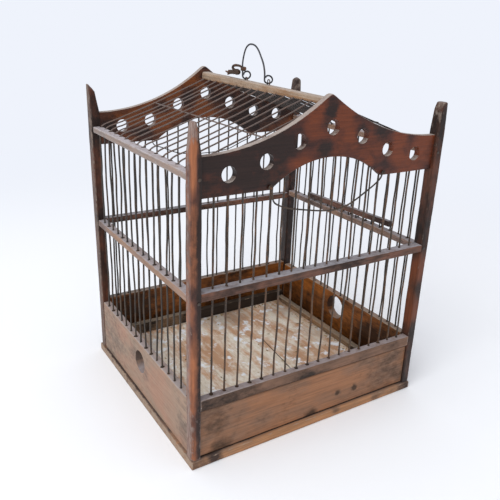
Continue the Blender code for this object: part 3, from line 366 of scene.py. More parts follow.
def rounded_ring(half_a, half_b, radii, shares_a, shares_b):
    """Points round a rectangle whose four corners may have unlike radii."""
    signs = ((1, 1), (-1, 1), (-1, -1), (1, -1))
    points = []
    for index, (sign_a, sign_b) in enumerate(signs):
        radius = radii[index]
        centre = (sign_a * (half_a - radius), sign_b * (half_b - radius))
        for step in range(CORNER_STEPS + 1):
            angle = math.pi / 2 * (index + step / CORNER_STEPS)
            points.append((centre[0] + radius * math.cos(angle), centre[1] + radius * math.sin(angle)))
        last = points[-1]
        after = (index + 1) % 4
        next_a, next_b = signs[after]
        angle = math.pi / 2 * after
        first = (next_a * (half_a - radii[after]) + radii[after] * math.cos(angle),
                 next_b * (half_b - radii[after]) + radii[after] * math.sin(angle))
        for share in (shares_a if index in (0, 2) else shares_b):
            points.append((last[0] + (first[0] - last[0]) * share, last[1] + (first[1] - last[1]) * share))
    return points


def new_piece(name, mesh, material, body, nodes, slot=None):
    """A finished piece: placed by its mesh, riding on a body and standing for CAD nodes."""
    piece = bpy.data.objects.new(name, mesh)
    bpy.context.scene.collection.objects.link(piece)
    mesh.materials.clear()
    mesh.materials.append(material)
    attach(piece, body)
    if nodes:
        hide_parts(*nodes)
    slot or slot_of[nodes[0]]
    return piece


slot_of = {row["node"]: row["material_slot"] for row in frame["record"]["subparts"]}


def loft(rings):
    """A closed mesh skinned over rings of points, with flat ends."""
    bm = bmesh.new()
    rows = [[bm.verts.new(place) for place in ring] for ring in rings]
    count = len(rows[0])
    for near, far in zip(rows, rows[1:]):
        for i in range(count):
            bm.faces.new((near[i], near[(i + 1) % count], far[(i + 1) % count], far[i]))
    bm.faces.new(rows[0])
    bm.faces.new(list(reversed(rows[-1])))
    bmesh.ops.recalc_face_normals(bm, faces=bm.faces)
    mesh = bpy.data.meshes.new("loft")
    bm.to_mesh(mesh)
    bm.free()
    return mesh


def beam_mesh(low, high, axis, radii, seed, chip=0.5, profile=None, tip=0.0, roll=FACE_ROLL):
    """A worn batten between two corners. profile(s) may give its own half sizes and middle."""
    a, b = [i for i in range(3) if i != axis]
    size = high - low
    shares_a = side_shares(size[a], radii[0])
    shares_b = side_shares(size[b], radii[0])
    count = max(int(size[axis] / STATION), 2)
    stations = [low[axis] + size[axis] * i / count for i in range(count + 1)]
    if tip:
        stations = stations[:-1] + [high[axis] - tip * f for f in (0.8, 0.45, 0.2, 0.06, 0.0)]
        stations = sorted(s for s in set(stations) if s <= high[axis])
    rings = []
    for s in stations:
        half_a, half_b, mid_a, mid_b = profile(s) if profile else (
            size[a] / 2, size[b] / 2, (low[a] + high[a]) / 2, (low[b] + high[b]) / 2)
        worn_radii = []
        for corner, radius in enumerate(radii):
            rough = noise.noise(Vector((s / ROLL_LENGTH, corner * 5.1, seed)))
            bite = noise.noise(Vector((s / CHIP_LENGTH, corner * 3.7 + 20, seed)))
            grown = radius * (1 + 0.35 * rough) + chip * MM * max(0.0, bite - 0.25)
            worn_radii.append(min(grown, half_a * 0.95, half_b * 0.95))
        shrink = 0.0
        left = (high[axis] - s) / tip if tip else 1.0
        if left < 1:
            shrink = tip * (1 - math.sqrt(max(0.0, 1 - (1 - left) ** 2)))
        most = min((half_a - shrink) * 0.95, (half_b - shrink) * 0.95)
        ring = rounded_ring(half_a - shrink, half_b - shrink, [min(r, most) for r in worn_radii],
                            shares_a, shares_b)
        placed = []
        for along_a, along_b in ring:
            place = Vector((0, 0, 0))
            place[axis] = s
            sway = noise.noise(Vector((s / ROLL_LENGTH, along_a / ROLL_LENGTH + seed, along_b / ROLL_LENGTH)))
            inset = roll * (0.5 + 0.5 * sway)
            place[a] = mid_a + along_a * (1 - inset / max(half_a, MM))
            place[b] = mid_b + along_b * (1 - inset / max(half_b, MM))
            placed.append(place)
        rings.append(placed)
    return loft(rings)


def cut_rods(mesh, rods, sides):
    """The mesh with round holes cut through it, each given as start, end and the two radii there."""
    bm = bmesh.new()
    for start, end, radius, end_radius in rods:
        span = Vector(end) - Vector(start)
        place = Matrix.Translation((Vector(start) + Vector(end)) / 2)
        place = place @ span.to_track_quat("Z", "Y").to_matrix().to_4x4()
        bmesh.ops.create_cone(bm, cap_ends=True, segments=sides, radius1=radius, radius2=end_radius,
                              depth=span.length, matrix=place)
    rod_mesh = bpy.data.meshes.new("rods")
    bm.to_mesh(rod_mesh)
    bm.free()
    body = bpy.data.objects.new("body", mesh)
    cutter = bpy.data.objects.new("cutter", rod_mesh)
    for item in (body, cutter):
        bpy.context.scene.collection.objects.link(item)
    boolean = body.modifiers.new("holes", "BOOLEAN")
    boolean.operation = "DIFFERENCE"
    boolean.solver = "EXACT"
    boolean.object = cutter
    graph = bpy.context.evaluated_depsgraph_get()
    cut = bpy.data.meshes.new_from_object(body.evaluated_get(graph))
    for item in (body, cutter):
        bpy.data.objects.remove(item)
    return cut


def edge_distance(place, low, high):
    """How far a spot on a box's surface is from the nearest edge."""
    gaps = sorted(min(place[i] - low[i], high[i] - place[i]) for i in range(3))
    return gaps[1]


def paint(mesh, axis, worn, dark, seed):
    """Stores grain, worn and dark at every face corner; the last two are functions of place and normal."""
    order = [axis] + [i for i in range(3) if i != axis]
    shift = Vector((seed * 0.71, seed * 0.37, seed * 0.53))
    loops = len(mesh.loops)
    grain = [0.0] * (loops * 3)
    worn_values = [0.0] * loops
    dark_values = [0.0] * loops
    for face in mesh.polygons:
        normal = face.normal
        for index in face.loop_indices:
            place = mesh.vertices[mesh.loops[index].vertex_index].co
            for k in range(3):
                grain[index * 3 + k] = place[order[k]] + shift[k]
            worn_values[index] = worn(place, normal)
            dark_values[index] = dark(place, normal)
    mesh.attributes.new("grain", "FLOAT_VECTOR", "CORNER").data.foreach_set("vector", grain)
    mesh.attributes.new("worn", "FLOAT", "CORNER").data.foreach_set("value", worn_values)
    mesh.attributes.new("dark", "FLOAT", "CORNER").data.foreach_set("value", dark_values)
    mesh.shade_smooth()
    mesh.set_sharp_from_angle(angle=SHARP_ANGLE)


def wear(low, high, rub=1.0, sides=None, reach=1.3 * MM):
    """A worn() function for a box: rubbed edges, and more or less on sides named by axis and sign."""
    def worn(place, normal):
        value = rub * max(0.0, min(1.0, 1.25 - edge_distance(place, low, high) / reach))
        for (along, sign), amount in (sides or {}).items():
            value += amount * max(0.0, min(1.0, normal[along] * sign * 1.6 - 0.5))
        return value
    return worn


def spots(*rows):
    """A dark() function: soft round stains, some of them painted shade, each as place and radius in
    millimetres and strength.
    """
    blobs = [(Vector(place) * MM, radius * MM, strength) for place, radius, strength in rows]

    def dark(place, normal):
        value = 0.0
        for spot, radius, strength in blobs:
            away = (place - spot).length / radius
            value += strength * max(0.0, 1 - away * away)
        return value
    return dark


def no_stain(place, normal):
    return 0.0


def ramp(value, start, end):
    """0 up to the start, 1 from the end on, even between. The end may lie below the start."""
    return max(0.0, min(1.0, (value - start) / (end - start)))


def hump(value, middle, half):
    """1 at the middle, falling evenly to 0 at half a width from it."""
    return max(0.0, 1 - abs(value - middle) / half)

# %% [markdown]
# ## Corner posts
# The four posts are narrow battens whose inner faces taper towards a blunt, handled tip.
# The faces that look left have faded to grey-beige, and the fronts kept their red-brown shellac.

# %% Posts
HALF_WIDTH = 145 * MM
HALF_DEPTH = 131.5 * MM
POST_WIDTH = 8 * MM
POST_DEPTH = 12.5 * MM
POST_TAPER = 30 * MM
NIP_HEIGHT = 7 * MM         # the last stretch of a tip, that knocks have worn to one side
BOW_START = 60 * MM
BOW_END = 270 * MM
POST_ROOM = 1.4 * MM        # how far a post may stand out from its solid, inside the base's edge
CLEAR_X = HALF_WIDTH - POST_WIDTH
CLEAR_Y = HALF_DEPTH - POST_DEPTH


def post_profile(side_x, side_y, top, tip, nip, bow, swell):
    """Half sizes and middle of a post at a height: bowed out a little, tapered to its tip."""
    outer, inner = swell[0] * MM, swell[1] * MM
    broad = POST_WIDTH + outer + inner

    def profile(z):
        t = max(0.0, (z - top + POST_TAPER) / POST_TAPER)
        worn = 1 - nip * max(0.0, (z - top + NIP_HEIGHT) / NIP_HEIGHT)
        width = (broad + (tip[0] * MM - broad) * t) * worn
        depth = (POST_DEPTH + (tip[1] * MM - POST_DEPTH) * t) * worn
        lean = min(bow * MM * ramp(z, BOW_START, BOW_END), POST_ROOM - outer)
        middle_x = side_x * (HALF_WIDTH + outer * (1 - t) + lean - width / 2)
        return width / 2, depth / 2, middle_x, side_y * (HALF_DEPTH - depth / 2)
    return profile


# Each post: its sides, how far it is fuller than its solid outwards and inwards, its tip's width and
# depth, nip, rounding, bow, corner radii, faded sides, greyness of its tip and stains.
POST_LOOKS = {
    "post_front_left": (-1, -1, (1.2, 0.6), (4.0, 9.0), 0.10, 1.6, 1.4, (1.5, 1.5, 3.4, 1.5),
                        {(0, -1): 0.20, (2, 1): 0.5}, 0.0, None),
    "post_front_right": (1, -1, (1.3, 0.8), (7.0, 11.5), 0.10, 1.6, 0.0, (1.5, 1.5, 1.5, 1.5),
                         {(0, -1): 0.25, (2, 1): 0.4}, 0.35,
                         spots(((138, -131, 310), 70, 0.5), ((138, -125, 210), 60, 0.7),
                               ((145, -131, 255), 30, -0.7), ((141, -131, 158), 20, -0.9),
                               ((141, -131, 100), 18, -0.9), ((138, -127, 60), 60, 0.6))),
    "post_back_left": (-1, 1, (0.0, 2.4), (6.0, 9.0), 0.65, 1.2, 1.4, (1.5, 1.5, 1.5, 1.5),
                       {(0, -1): 0.60, (2, 1): 0.4}, 0.15,
                       spots(((-138, 119, 300), 70, 0.7), ((-138, 119, 200), 50, 0.5),
                             ((-138, 119, 110), 60, 0.4))),
    "post_back_right": (1, 1, (0.9, 2.6), (7.0, 11.0), 0.0, 4.5, 0.0, (1.5, 1.5, 1.5, 1.5),
                        {(0, -1): 0.5, (1, -1): 0.4, (2, 1): 0.5}, 0.55,
                        spots(((141, 125, 60), 90, 0.7), ((137, 119, 200), 130, 0.8),
                              ((141, 125, 345), 50, 0.9))),
}

# %% [markdown]
# ## The handled post
# Hands took the cage by its front-left post, and that wore it in a pattern of its own: a pale
# left edge, a grey tip, and a front face that darkens to the right. Below the grey tip its corner
# is painted warm orange: partly its shellac, partly a painted highlight where the round corner meets the
# lamp.
# So its paint follows how far round the post a place lies, seen from the front left.

# %% The handled post
GREY_START = 312 * MM       # a tip turns grey between these two heights
GREY_END = 326 * MM
POST_LEFT = -145 * MM
POST_BACK = -119 * MM
ACROSS_X = 0.84             # how much a step to the right shows from the front left
ACROSS_Y = 0.54             # and how much one to the front
ACROSS = 13.5 * MM          # how broad both faces together look from there
# Height in millimetres, and how warm the post's corner is painted there: partly its shellac, partly a painted
# highlight.
CORNER_WARMTH_AND_HIGHLIGHT = ((0, 0.0), (60, 0.0), (90, 0.3), (140, 0.1), (178, 0.0), (195, -0.5), (262, -0.5),
           (285, 1.4), (312, 1.2), (320, 0.0), (400, 0.0))
DRIFT_LENGTH = 30 * MM      # the corner's edges wander over about this length
TIP_RIGHT = -139.5 * MM     # the grey of the tip fades in from here
TIP_LEFT = -141.1 * MM      # to here


def round_post(place):
    """How far round the post a place lies: 0 at the back of its left face, 1 at its right edge."""
    return (ACROSS_X * (place.x - POST_LEFT) - ACROSS_Y * (place.y - POST_BACK)) / ACROSS


def warmth_and_highlight_at(z):
    """How warm the corner is painted at a height, with its painted highlight, between the two nearest rows.
    """
    for (low_z, low_warm), (high_z, high_warm) in zip(CORNER_WARMTH_AND_HIGHLIGHT, CORNER_WARMTH_AND_HIGHLIGHT[1:]):
        if z < high_z * MM:
            return low_warm + (high_warm - low_warm) * ramp(z, low_z * MM, high_z * MM)
    return 0.0


def handled_stain_and_highlight(place, normal):
    """Dark to the right, and warm on the corner where the height says so: partly shellac, partly a painted
    highlight.
    """
    across = round_post(place)
    drift = noise.noise(Vector((place.z / DRIFT_LENGTH, 2.7, 0.4)))
    corner = hump(across, 0.50 + 0.05 * drift, 0.32)
    shade = ramp(across, 0.64 - 0.08 * drift, 0.86 - 0.08 * drift)
    warmth_and_highlight = warmth_and_highlight_at(place.z)
    return shade - (1 + 0.7 * drift) * warmth_and_highlight * (corner if warmth_and_highlight > 0 else 1)


def handled_wear(worn):
    """The tip is rubbed grey, all but its right edge, and so are the left edge and the foot."""
    def more(place, normal):
        value = worn(place, normal)
        value += 0.7 * ramp(place.z, GREY_START, GREY_END) * ramp(place.x, TIP_RIGHT, TIP_LEFT)
        value += 0.5 * hump(round_post(place), 0.10, 0.22)
        value += 0.15 * ramp(place.z, 180 * MM, 150 * MM) + 0.3 * ramp(place.z, 80 * MM, 60 * MM)
        return value
    return more


def greyed_tip(worn, amount):
    """Rubbing that greys the top of a post."""
    return lambda place, normal: worn(place, normal) + amount * ramp(place.z, GREY_START, GREY_END)


for number, (node, look) in enumerate(POST_LOOKS.items()):
    side_x, side_y, swell, tip, nip, rounding, bow, radii, faded, greyness, stain = look
    low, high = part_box(node)
    profile = post_profile(side_x, side_y, high.z, tip, nip, bow, swell)
    left, right = swell if side_x < 0 else swell[::-1]
    low.x -= left * MM
    high.x += right * MM
    mesh = beam_mesh(low, high, 2, [r * MM for r in radii], 3.3 + number, 0.9, profile, tip=rounding * MM)
    worn = greyed_tip(wear(low, high, 0.3, faded), greyness)
    if stain is None:
        worn, stain, finish = handled_wear(worn), handled_stain_and_highlight, HANDLED_POST_WITH_HIGHLIGHT
    else:
        finish = DARK_SHELLAC
    paint(mesh, 2, worn, stain, 1.0 + number)
    new_piece(node + "_wood", mesh, finish, "cage", [node])
print("Posts:", len(POST_LOOKS))

# %% [markdown]
# ## Rails, boards and tray
# These are plain battens and boards. One table gives each its grain direction, corner radius,
# finish, wear and stains, and one loop lofts and paints them all.

# %% Straight wooden pieces
STRIP_TOPS = (76 * MM, 72.5 * MM)       # the top of the strip over the tray, at its left and right end
STRIP_HEIGHT = 12 * MM
TRAY_DROP = 13.8 * MM
DOOR_ROW_X = 137.3 * MM
DOOR_FOOT = 66.3 * MM
DOOR_BORE = 1.5 * MM


def spread(count, half_room):
    """Even places across a clear width, with a full step at each end."""
    step = 2 * half_room / (count + 1)
    return [step * (i + 1) - half_room for i in range(count)]


FRONT_XS = spread(18, CLEAR_X)
SIDE_YS = spread(16, CLEAR_Y)
DOOR_YS = SIDE_YS[3:13]


def strip_top(x):
    return STRIP_TOPS[0] + (STRIP_TOPS[1] - STRIP_TOPS[0]) * (x + CLEAR_X) / (2 * CLEAR_X)


def front_slope(node, drop):
    """The strip and the tray's front fall to the right: half sizes and middle along x."""
    low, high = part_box(node)

    def profile(x):
        top = strip_top(x) - drop
        bottom = low.z if drop else top - STRIP_HEIGHT
        return (high.y - low.y) / 2, (top - bottom) / 2, (low.y + high.y) / 2, (top + bottom) / 2
    return profile


FEEDER_RADIUS = 13.2 * MM
FEEDERS = {                 # along y and up to the hole's middle, and how much wider it is inside
    "lower_board_left": (2.0 * MM, 49.5 * MM, 0.0),
    "lower_board_right": (-0.5 * MM, 53.8 * MM, 3.2 * MM),
}
OVERCUT = 2 * MM            # how far a drill runs past a face
BASE_SHADE_X = 143 * MM
BASE_SHADE_Y = -130 * MM


def feeder_rod(node):
    low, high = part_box(node)
    y, z, flare = FEEDERS[node]
    return (low.x - OVERCUT, y, z), (high.x + OVERCUT, y, z), FEEDER_RADIUS + flare, FEEDER_RADIUS


def base_shade_and_stain(place, normal):
    """The base is dark where the tray hides it from the light, and blotched along its front edge."""
    if normal.z > 0.6 and abs(place.x) < BASE_SHADE_X and place.y > BASE_SHADE_Y:
        return 1.6
    return base_edge(place, normal)


def holed_soot_and_shade(stain, node):
    """Sooty grime and painted shade on the wall of a feeder hole, most on its upper part, in place of a
    board's other stains.
    """
    y, z, _ = FEEDERS[node]

    def dark(place, normal):
        inside = math.hypot(place.y - y, place.z - z) < FEEDER_RADIUS * 1.3 and abs(normal.x) < 0.6
        # Walls that don't look up get the most: painted shade inside the hole, over its dirt.
        return (1.2 if normal.z < 0.4 else 0.6) if inside else stain(place, normal)
    return dark


base_edge = spots(((-10, -133, 5), 120, -0.95), ((-146, 70, 5), 90, 1.1), ((-146, -30, 5), 60, 0.8),
                  ((-120, -133, 6), 11, 1.2), ((33, -133, 8), 9, 1.3), ((-146, -133, 5), 26, 0.6),
                  ((146, -133, 5), 22, 0.7), ((92, -133, 3), 9, 0.7))
# Each board: axis of its grain, corner radius in mm, finish, body, rubbing, faded sides and stains; on some
# boards the stains also hold painted shade.
BOARDS = {
    "base_board": (0, 1.6, BASE_BOARD, "cage", 0.8, {(2, 1): 0.0}, base_shade_and_stain),
    "eave_rail_left": (1, 0.9, GREY_RAIL, "cage", 0.6, {(0, -1): 0.35, (2, 1): 0.3}, no_stain),
    "eave_rail_right": (1, 0.9, WORN_RAIL, "cage", 0.6, {(0, -1): 0.1}, no_stain),
    "mid_rail_left": (1, 1.0, WORN_RAIL, "cage", 0.6, {(0, -1): 0.15}, spots(((-144, -60, 176), 90, -0.5))),
    "mid_rail_right": (1, 1.0, WORN_RAIL, "cage", 0.7, {(0, -1): 0.2}, spots(((135, 0, 180), 130, 0.35))),
    "mid_rail_front": (0, 1.1, BROWN_SHELLAC, "cage", 0.5, {},
                       spots(((25, -130, 183), 30, 0.7), ((-105, -130, 180), 60, 0.35))),
    "mid_rail_back": (0, 1.1, BROWN_SHELLAC, "cage", 0.5, {}, spots(((-60, 128, 179), 70, 0.6))),
    "lower_rail_front": (0, 0.9, FRONT_STRIP, "cage", 0.9, {(2, 1): 0.35, (1, -1): 0.03},
                         spots(((-4, -131, 64), 4.5, 1.4), ((-14, -131, 64), 11, 0.7),
                               ((-125, -131, 68), 34, 0.8), ((-85, -131, 63), 26, 0.5),
                               ((110, -131, 68), 20, 0.4))),
    # Its two low spots darken the board's lower part by the tray floor: partly stain, partly painted shade.
    "lower_board_back": (0, 0.9, INNER_SHELLAC, "cage", 0.7, {},
                         spots(((-80, 121, 38), 60, 0.75), ((30, 121, 38), 70, 0.75),
                               ((-110, 121, 70), 40, 0.5))),
    "lower_board_left": (1, 0.9, SIDE_BOARD, "cage", 0.7, {(0, -1): 0.1, (2, 1): 0.35}, holed_soot_and_shade(
        spots(((-144, 22, 50), 14, 0.5), ((-144, -14, 40), 10, 0.5), ((-144, -112, 30), 22, 0.5),
              ((-144, 90, 40), 50, 0.3), ((-144, -60, 45), 40, -0.6)), "lower_board_left")),
    "lower_board_right": (1, 0.9, INNER_SHELLAC, "cage", 0.8, {(2, 1): 0.45}, holed_soot_and_shade(
        spots(((135, -100, 40), 50, 1.0), ((135, -40, 22), 40, 0.8), ((135, 30, 26), 45, 0.7),
              ((135, 90, 26), 45, 0.8)), "lower_board_right")),
    # Its two low spots darken it near its bottom edge.
    "tray_front": (0, 1.0, FRONT_BOARD, "tray", 0.5, {},
                   spots(((36, -129, 27.3), 4.8, 1.6), ((61, -129, 25.7), 5.0, 1.5),
                         ((115, -129, 35), 45, 0.35), ((-113, -129, 12), 15, 1.0),
                         ((0, -129, 10), 12, 1.1), ((-120, -129, 44), 18, 0.6),
                         ((-60, -129, 58), 30, -0.5), ((20, -129, 45), 40, -0.5))),
    "tray_rim_left": (1, 0.9, TRAY_RIM, "tray", 0.7, {}, no_stain),
    "tray_rim_right": (1, 0.9, TRAY_RIM, "tray", 0.7, {},
                       spots(((121, -60, 26), 60, 0.4), ((121, 60, 26), 60, 0.3))),
    # The strong spot makes the strip nearly black: partly dark wood, partly painted shade at the back of the
    # tray.
    "tray_back_strip": (0, 0.9, TRAY_RIM, "tray", 0.5, {},
                        spots(((55, 110, 34), 105, 2.2), ((-60, 108, 24), 60, 0.4))),
    "tray_cleat_front": (0, 0.7, TRAY_RIM, "tray", 0.5, {}, no_stain),
    "tray_cleat_back": (0, 0.7, TRAY_RIM, "tray", 0.5, {}, no_stain),
}
SLOPES = {"lower_rail_front": 0.0, "tray_front": TRAY_DROP}
SWELLS = {"mid_rail_front": ((0, 0, -0.5), (0, 1.8, 0.4))}      # where a rail is fuller than its solid, in mm
HOLE_SIDES = 48
BORE_SIDES = 12
for number, (node, (axis, radius, finish, body, rub, faded, stain)) in enumerate(BOARDS.items()):
    low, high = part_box(node)
    if node in SWELLS:
        low, high = [corner + Vector(more) * MM for corner, more in zip((low, high), SWELLS[node])]
    profile = front_slope(node, SLOPES[node]) if node in SLOPES else None
    mesh = beam_mesh(low, high, axis, [radius * MM] * 4, 11.7 + number, 0.7, profile)
    if node in FEEDERS:
        mesh = cut_rods(mesh, [feeder_rod(node)], HOLE_SIDES)
    if node in ("mid_rail_right", "lower_board_right"):
        start = (low.z if node == "mid_rail_right" else DOOR_FOOT) - MM
        mesh = cut_rods(mesh, [((DOOR_ROW_X, y, start), (DOOR_ROW_X, y, high.z + MM), DOOR_BORE, DOOR_BORE)
                               for y in DOOR_YS], BORE_SIDES)
    paint(mesh, axis, wear(low, high, rub, faded), stain, 9.0 + number)
    new_piece(node + "_wood", mesh, finish, body, [node])
print("Boards and rails:", len(BOARDS))

# %% Ridge
RIDGE_EDGE = 344.6 * MM     # below this the ridge is painted darker orange: partly its shellac, partly painted shade on its lower side
RIDGE_FALL = 1.1 / 100      # it stands a little higher at its back end
RIDGE_UNDER = 0.6 * MM      # and lower than its solid in the middle
RIDGE_PATCH = 35 * MM
RIDGE_RADII = [3.2 * MM, 3.2 * MM, 0.9 * MM, 0.9 * MM]
low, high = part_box("ridge_beam")


def ridge_shellac_and_shade(place, normal):
    patch = noise.noise(Vector((place.y / RIDGE_PATCH, 0.3, 0.8)))
    return -0.6 - 1.2 * patch if place.z < RIDGE_EDGE else 0.0


def ridge_profile(y):
    top = high.z - RIDGE_UNDER + y * RIDGE_FALL
    return (high.x - low.x) / 2, (top - low.z) / 2, 0.0, (top + low.z) / 2


mesh = beam_mesh(low, high, 1, RIDGE_RADII, 5.5, 0.4, ridge_profile)
# The wear on its top face pales it: partly bare wood, partly painted light on the lit top.
paint(mesh, 1, wear(low, high, 0.5, {(2, 1): 0.6}), ridge_shellac_and_shade, 4.0)
new_piece("ridge_beam_wood", mesh, PALE_RIDGE, "cage", ["ridge_beam"])

# %% [markdown]
# ## The pierced gables
# Each end board has an arched foot, a hollow sweep from the posts up to a peak, and a row of
# seven bored holes. Its outline follows two circle arcs, so the loft runs from side to side
# and every ring takes its top and foot from them. The holes are bored afterwards.

# %% Gables
GABLE_FOOT = 272 * MM
GABLE_PEAK = 353.5 * MM
GABLE_OUTLINES = {          # across and up of the peak, then the height at the posts
    "gable_front": (-4.5 * MM, 354.8 * MM, 308 * MM),
    "gable_back": (-1.5 * MM, 359.2 * MM, 308.8 * MM),
}
PEAK_SOFT = 2 * MM
ARCH_HALF = 66 * MM
ARCH_RISE = 24 * MM
PIERCING_RADIUS = 7.25 * MM
PIERCING_SHARES = {
    "gable_front": ((-0.799, 0.227), (-0.522, 0.319), (-0.270, 0.503), (0.0, 0.632),
                    (0.270, 0.503), (0.522, 0.319), (0.799, 0.227)),
    "gable_back": ((-0.796, 0.245), (-0.540, 0.307), (-0.270, 0.509), (0.0, 0.663),
                   (0.255, 0.503), (0.518, 0.362), (0.781, 0.294)),
}


def gable_foot(x):
    if abs(x) >= ARCH_HALF:
        return GABLE_FOOT
    radius = (ARCH_HALF ** 2 + ARCH_RISE ** 2) / (2 * ARCH_RISE)
    return GABLE_FOOT + ARCH_RISE - radius + math.sqrt(radius ** 2 - x ** 2)


def gable_top(node, x):
    """The hollow sweep, with the peak softened."""
    peak_x, peak_z, shoulder = GABLE_OUTLINES[node]
    side = 1 if x >= peak_x else -1
    away = math.hypot(x - peak_x, PEAK_SOFT)
    rise = peak_z - shoulder
    whole = CLEAR_X - side * peak_x
    radius = (whole ** 2 + rise ** 2) / (2 * rise)
    run = max(0.0, whole - away)
    return shoulder + radius - math.sqrt(radius ** 2 - run ** 2)


def piercing_centres(node):
    rise = GABLE_PEAK - GABLE_FOOT
    return [(across * CLEAR_X, GABLE_FOOT + up * rise) for across, up in PIERCING_SHARES[node]]


def gable_wear_and_light(node):
    """Bare along the top edge and inside the bored holes, and paler still where these faces look up: partly
    bare wood, partly painted light.
    """
    centres = piercing_centres(node)

    def worn(place, normal):
        value = 1.0 if normal.z > 0.5 else 0.0
        top_gap = gable_top(node, place.x) - place.z
        foot_gap = place.z - gable_foot(place.x)
        value += 0.75 * max(0.0, 1 - top_gap / (1.6 * MM)) + 0.25 * max(0.0, 1 - foot_gap / (1.2 * MM))
        if abs(normal.y) < 0.3:
            for x, z in centres:
                if math.hypot(place.x - x, place.z - z) < PIERCING_RADIUS * 1.05:
                    # Hole walls that look up are painted paler: partly bare wood, partly painted light.
                    value = 0.75 if normal.z > 0.35 else 0.25
        return value
    return worn


GABLE_STAINS = {
    "gable_front": spots(((-120, -127, 290), 85, 0.75), ((-62, -127, 290), 34, 0.5),
                         ((-3, -127, 343), 11, 1.1),
                         ((-6, -127, 331), 12, 0.9), ((35, -127, 315), 11, 0.9), ((60, -127, 318), 13, 1.1),
                         ((-8, -127, 304), 12, 1.0), ((-69, -127, 314), 10, 1.0),
                         ((-125, -127, 305), 12, 0.9),
                         ((52, -127, 279), 9, 0.9), ((86, -127, 310), 13, -1.2), ((47, -127, 284), 10, -1.1),
                         ((12, -127, 333), 12, -0.9), ((-23, -127, 323), 14, -0.8),
                         ((83, -127, 290), 13, -0.8),
                         ((23, -127, 318), 12, -0.6), ((117, -127, 301), 14, -0.7),
                         ((-35, -127, 294), 16, -0.6)),
    "gable_back": spots(((-45, 121, 331), 15, -1.3), ((-25, 121, 342), 11, -1.0), ((-75, 121, 321), 15, -1.0),
                        ((-62, 121, 293), 17, -1.0), ((-88, 121, 302), 17, -0.8), ((-40, 121, 303), 13, -0.8),
                        ((-3, 121, 306), 17, -0.8), ((-62, 121, 312), 12, 0.9), ((-22, 121, 325), 15, 0.9),
                        ((10, 121, 324), 20, 0.8), ((50, 121, 290), 36, 0.9), ((92, 121, 305), 40, 0.9),
                        ((-125, 121, 292), 16, 1.0)),
}
for number, node in enumerate(PIERCING_SHARES):
    low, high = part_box(node)
    half_y, middle_y = (high.y - low.y) / 2, (low.y + high.y) / 2

    def gable_profile(x):
        foot, top = gable_foot(x), gable_top(node, x)
        return half_y, (top - foot) / 2, middle_y, (top + foot) / 2

    mesh = beam_mesh(low, high, 0, [0.9 * MM] * 4, 31.0 + number, 0.35, gable_profile)
    rods = [((x, low.y - OVERCUT, z), (x, high.y + OVERCUT, z), PIERCING_RADIUS, PIERCING_RADIUS)
            for x, z in piercing_centres(node)]
    mesh = cut_rods(mesh, rods, HOLE_SIDES)
    paint(mesh, 0, gable_wear_and_light(node), GABLE_STAINS[node], 40.0 + number)
    new_piece(node + "_wood", mesh, GABLE_SHELLAC if node == "gable_front" else BACK_GABLE, "cage", [node])
print("Gables bored with", len(PIERCING_SHARES["gable_front"]), "holes each")

# %% [markdown]
# ## The tray floor
# Three planks lie on two hidden cleats. They were limewashed and never cleaned: cream brush
# strokes run along the wood over raw orange pine, with grey patches, and one plank is cracked.
# Beside the rims and the back the floor is painted greyer, as painted shade.
# The strokes are long noise cut at a threshold, so their edges stay crisp like real paint.

# %% The limed finish
STROKE_LENGTH = 70 * MM
STROKE_WIDTH = 13 * MM
FLAKE_SIZE = 3.5 * MM
CRACK_START = Vector((33.2, 20.9)) * MM
CRACK_END = Vector((24.2, -58.0)) * MM
CRACK_HALF_WIDTH = 0.35 * MM
CRACK_FADE = 6 * MM


def crack_line(tree, place):
    """1 on a thin crack that runs between two points of the floor, 0 elsewhere."""
    lean = (CRACK_START.x - CRACK_END.x) / (CRACK_START.y - CRACK_END.y)
    split = add(tree, "ShaderNodeSeparateXYZ", {0: place})
    line_x = times(tree, minus(tree, split.outputs[1], CRACK_END.y), lean)
    line_x = plus(tree, line_x, CRACK_END.x)
    away = maths(tree, "ABSOLUTE", minus(tree, split.outputs[0], line_x))
    near = ranged(tree, away, CRACK_HALF_WIDTH, CRACK_HALF_WIDTH * 2.4, 1.0, 0.0)
    reached = ranged(tree, split.outputs[1], CRACK_START.y - CRACK_FADE, CRACK_START.y, 1.0, 0.0)
    return times(tree, near, reached)


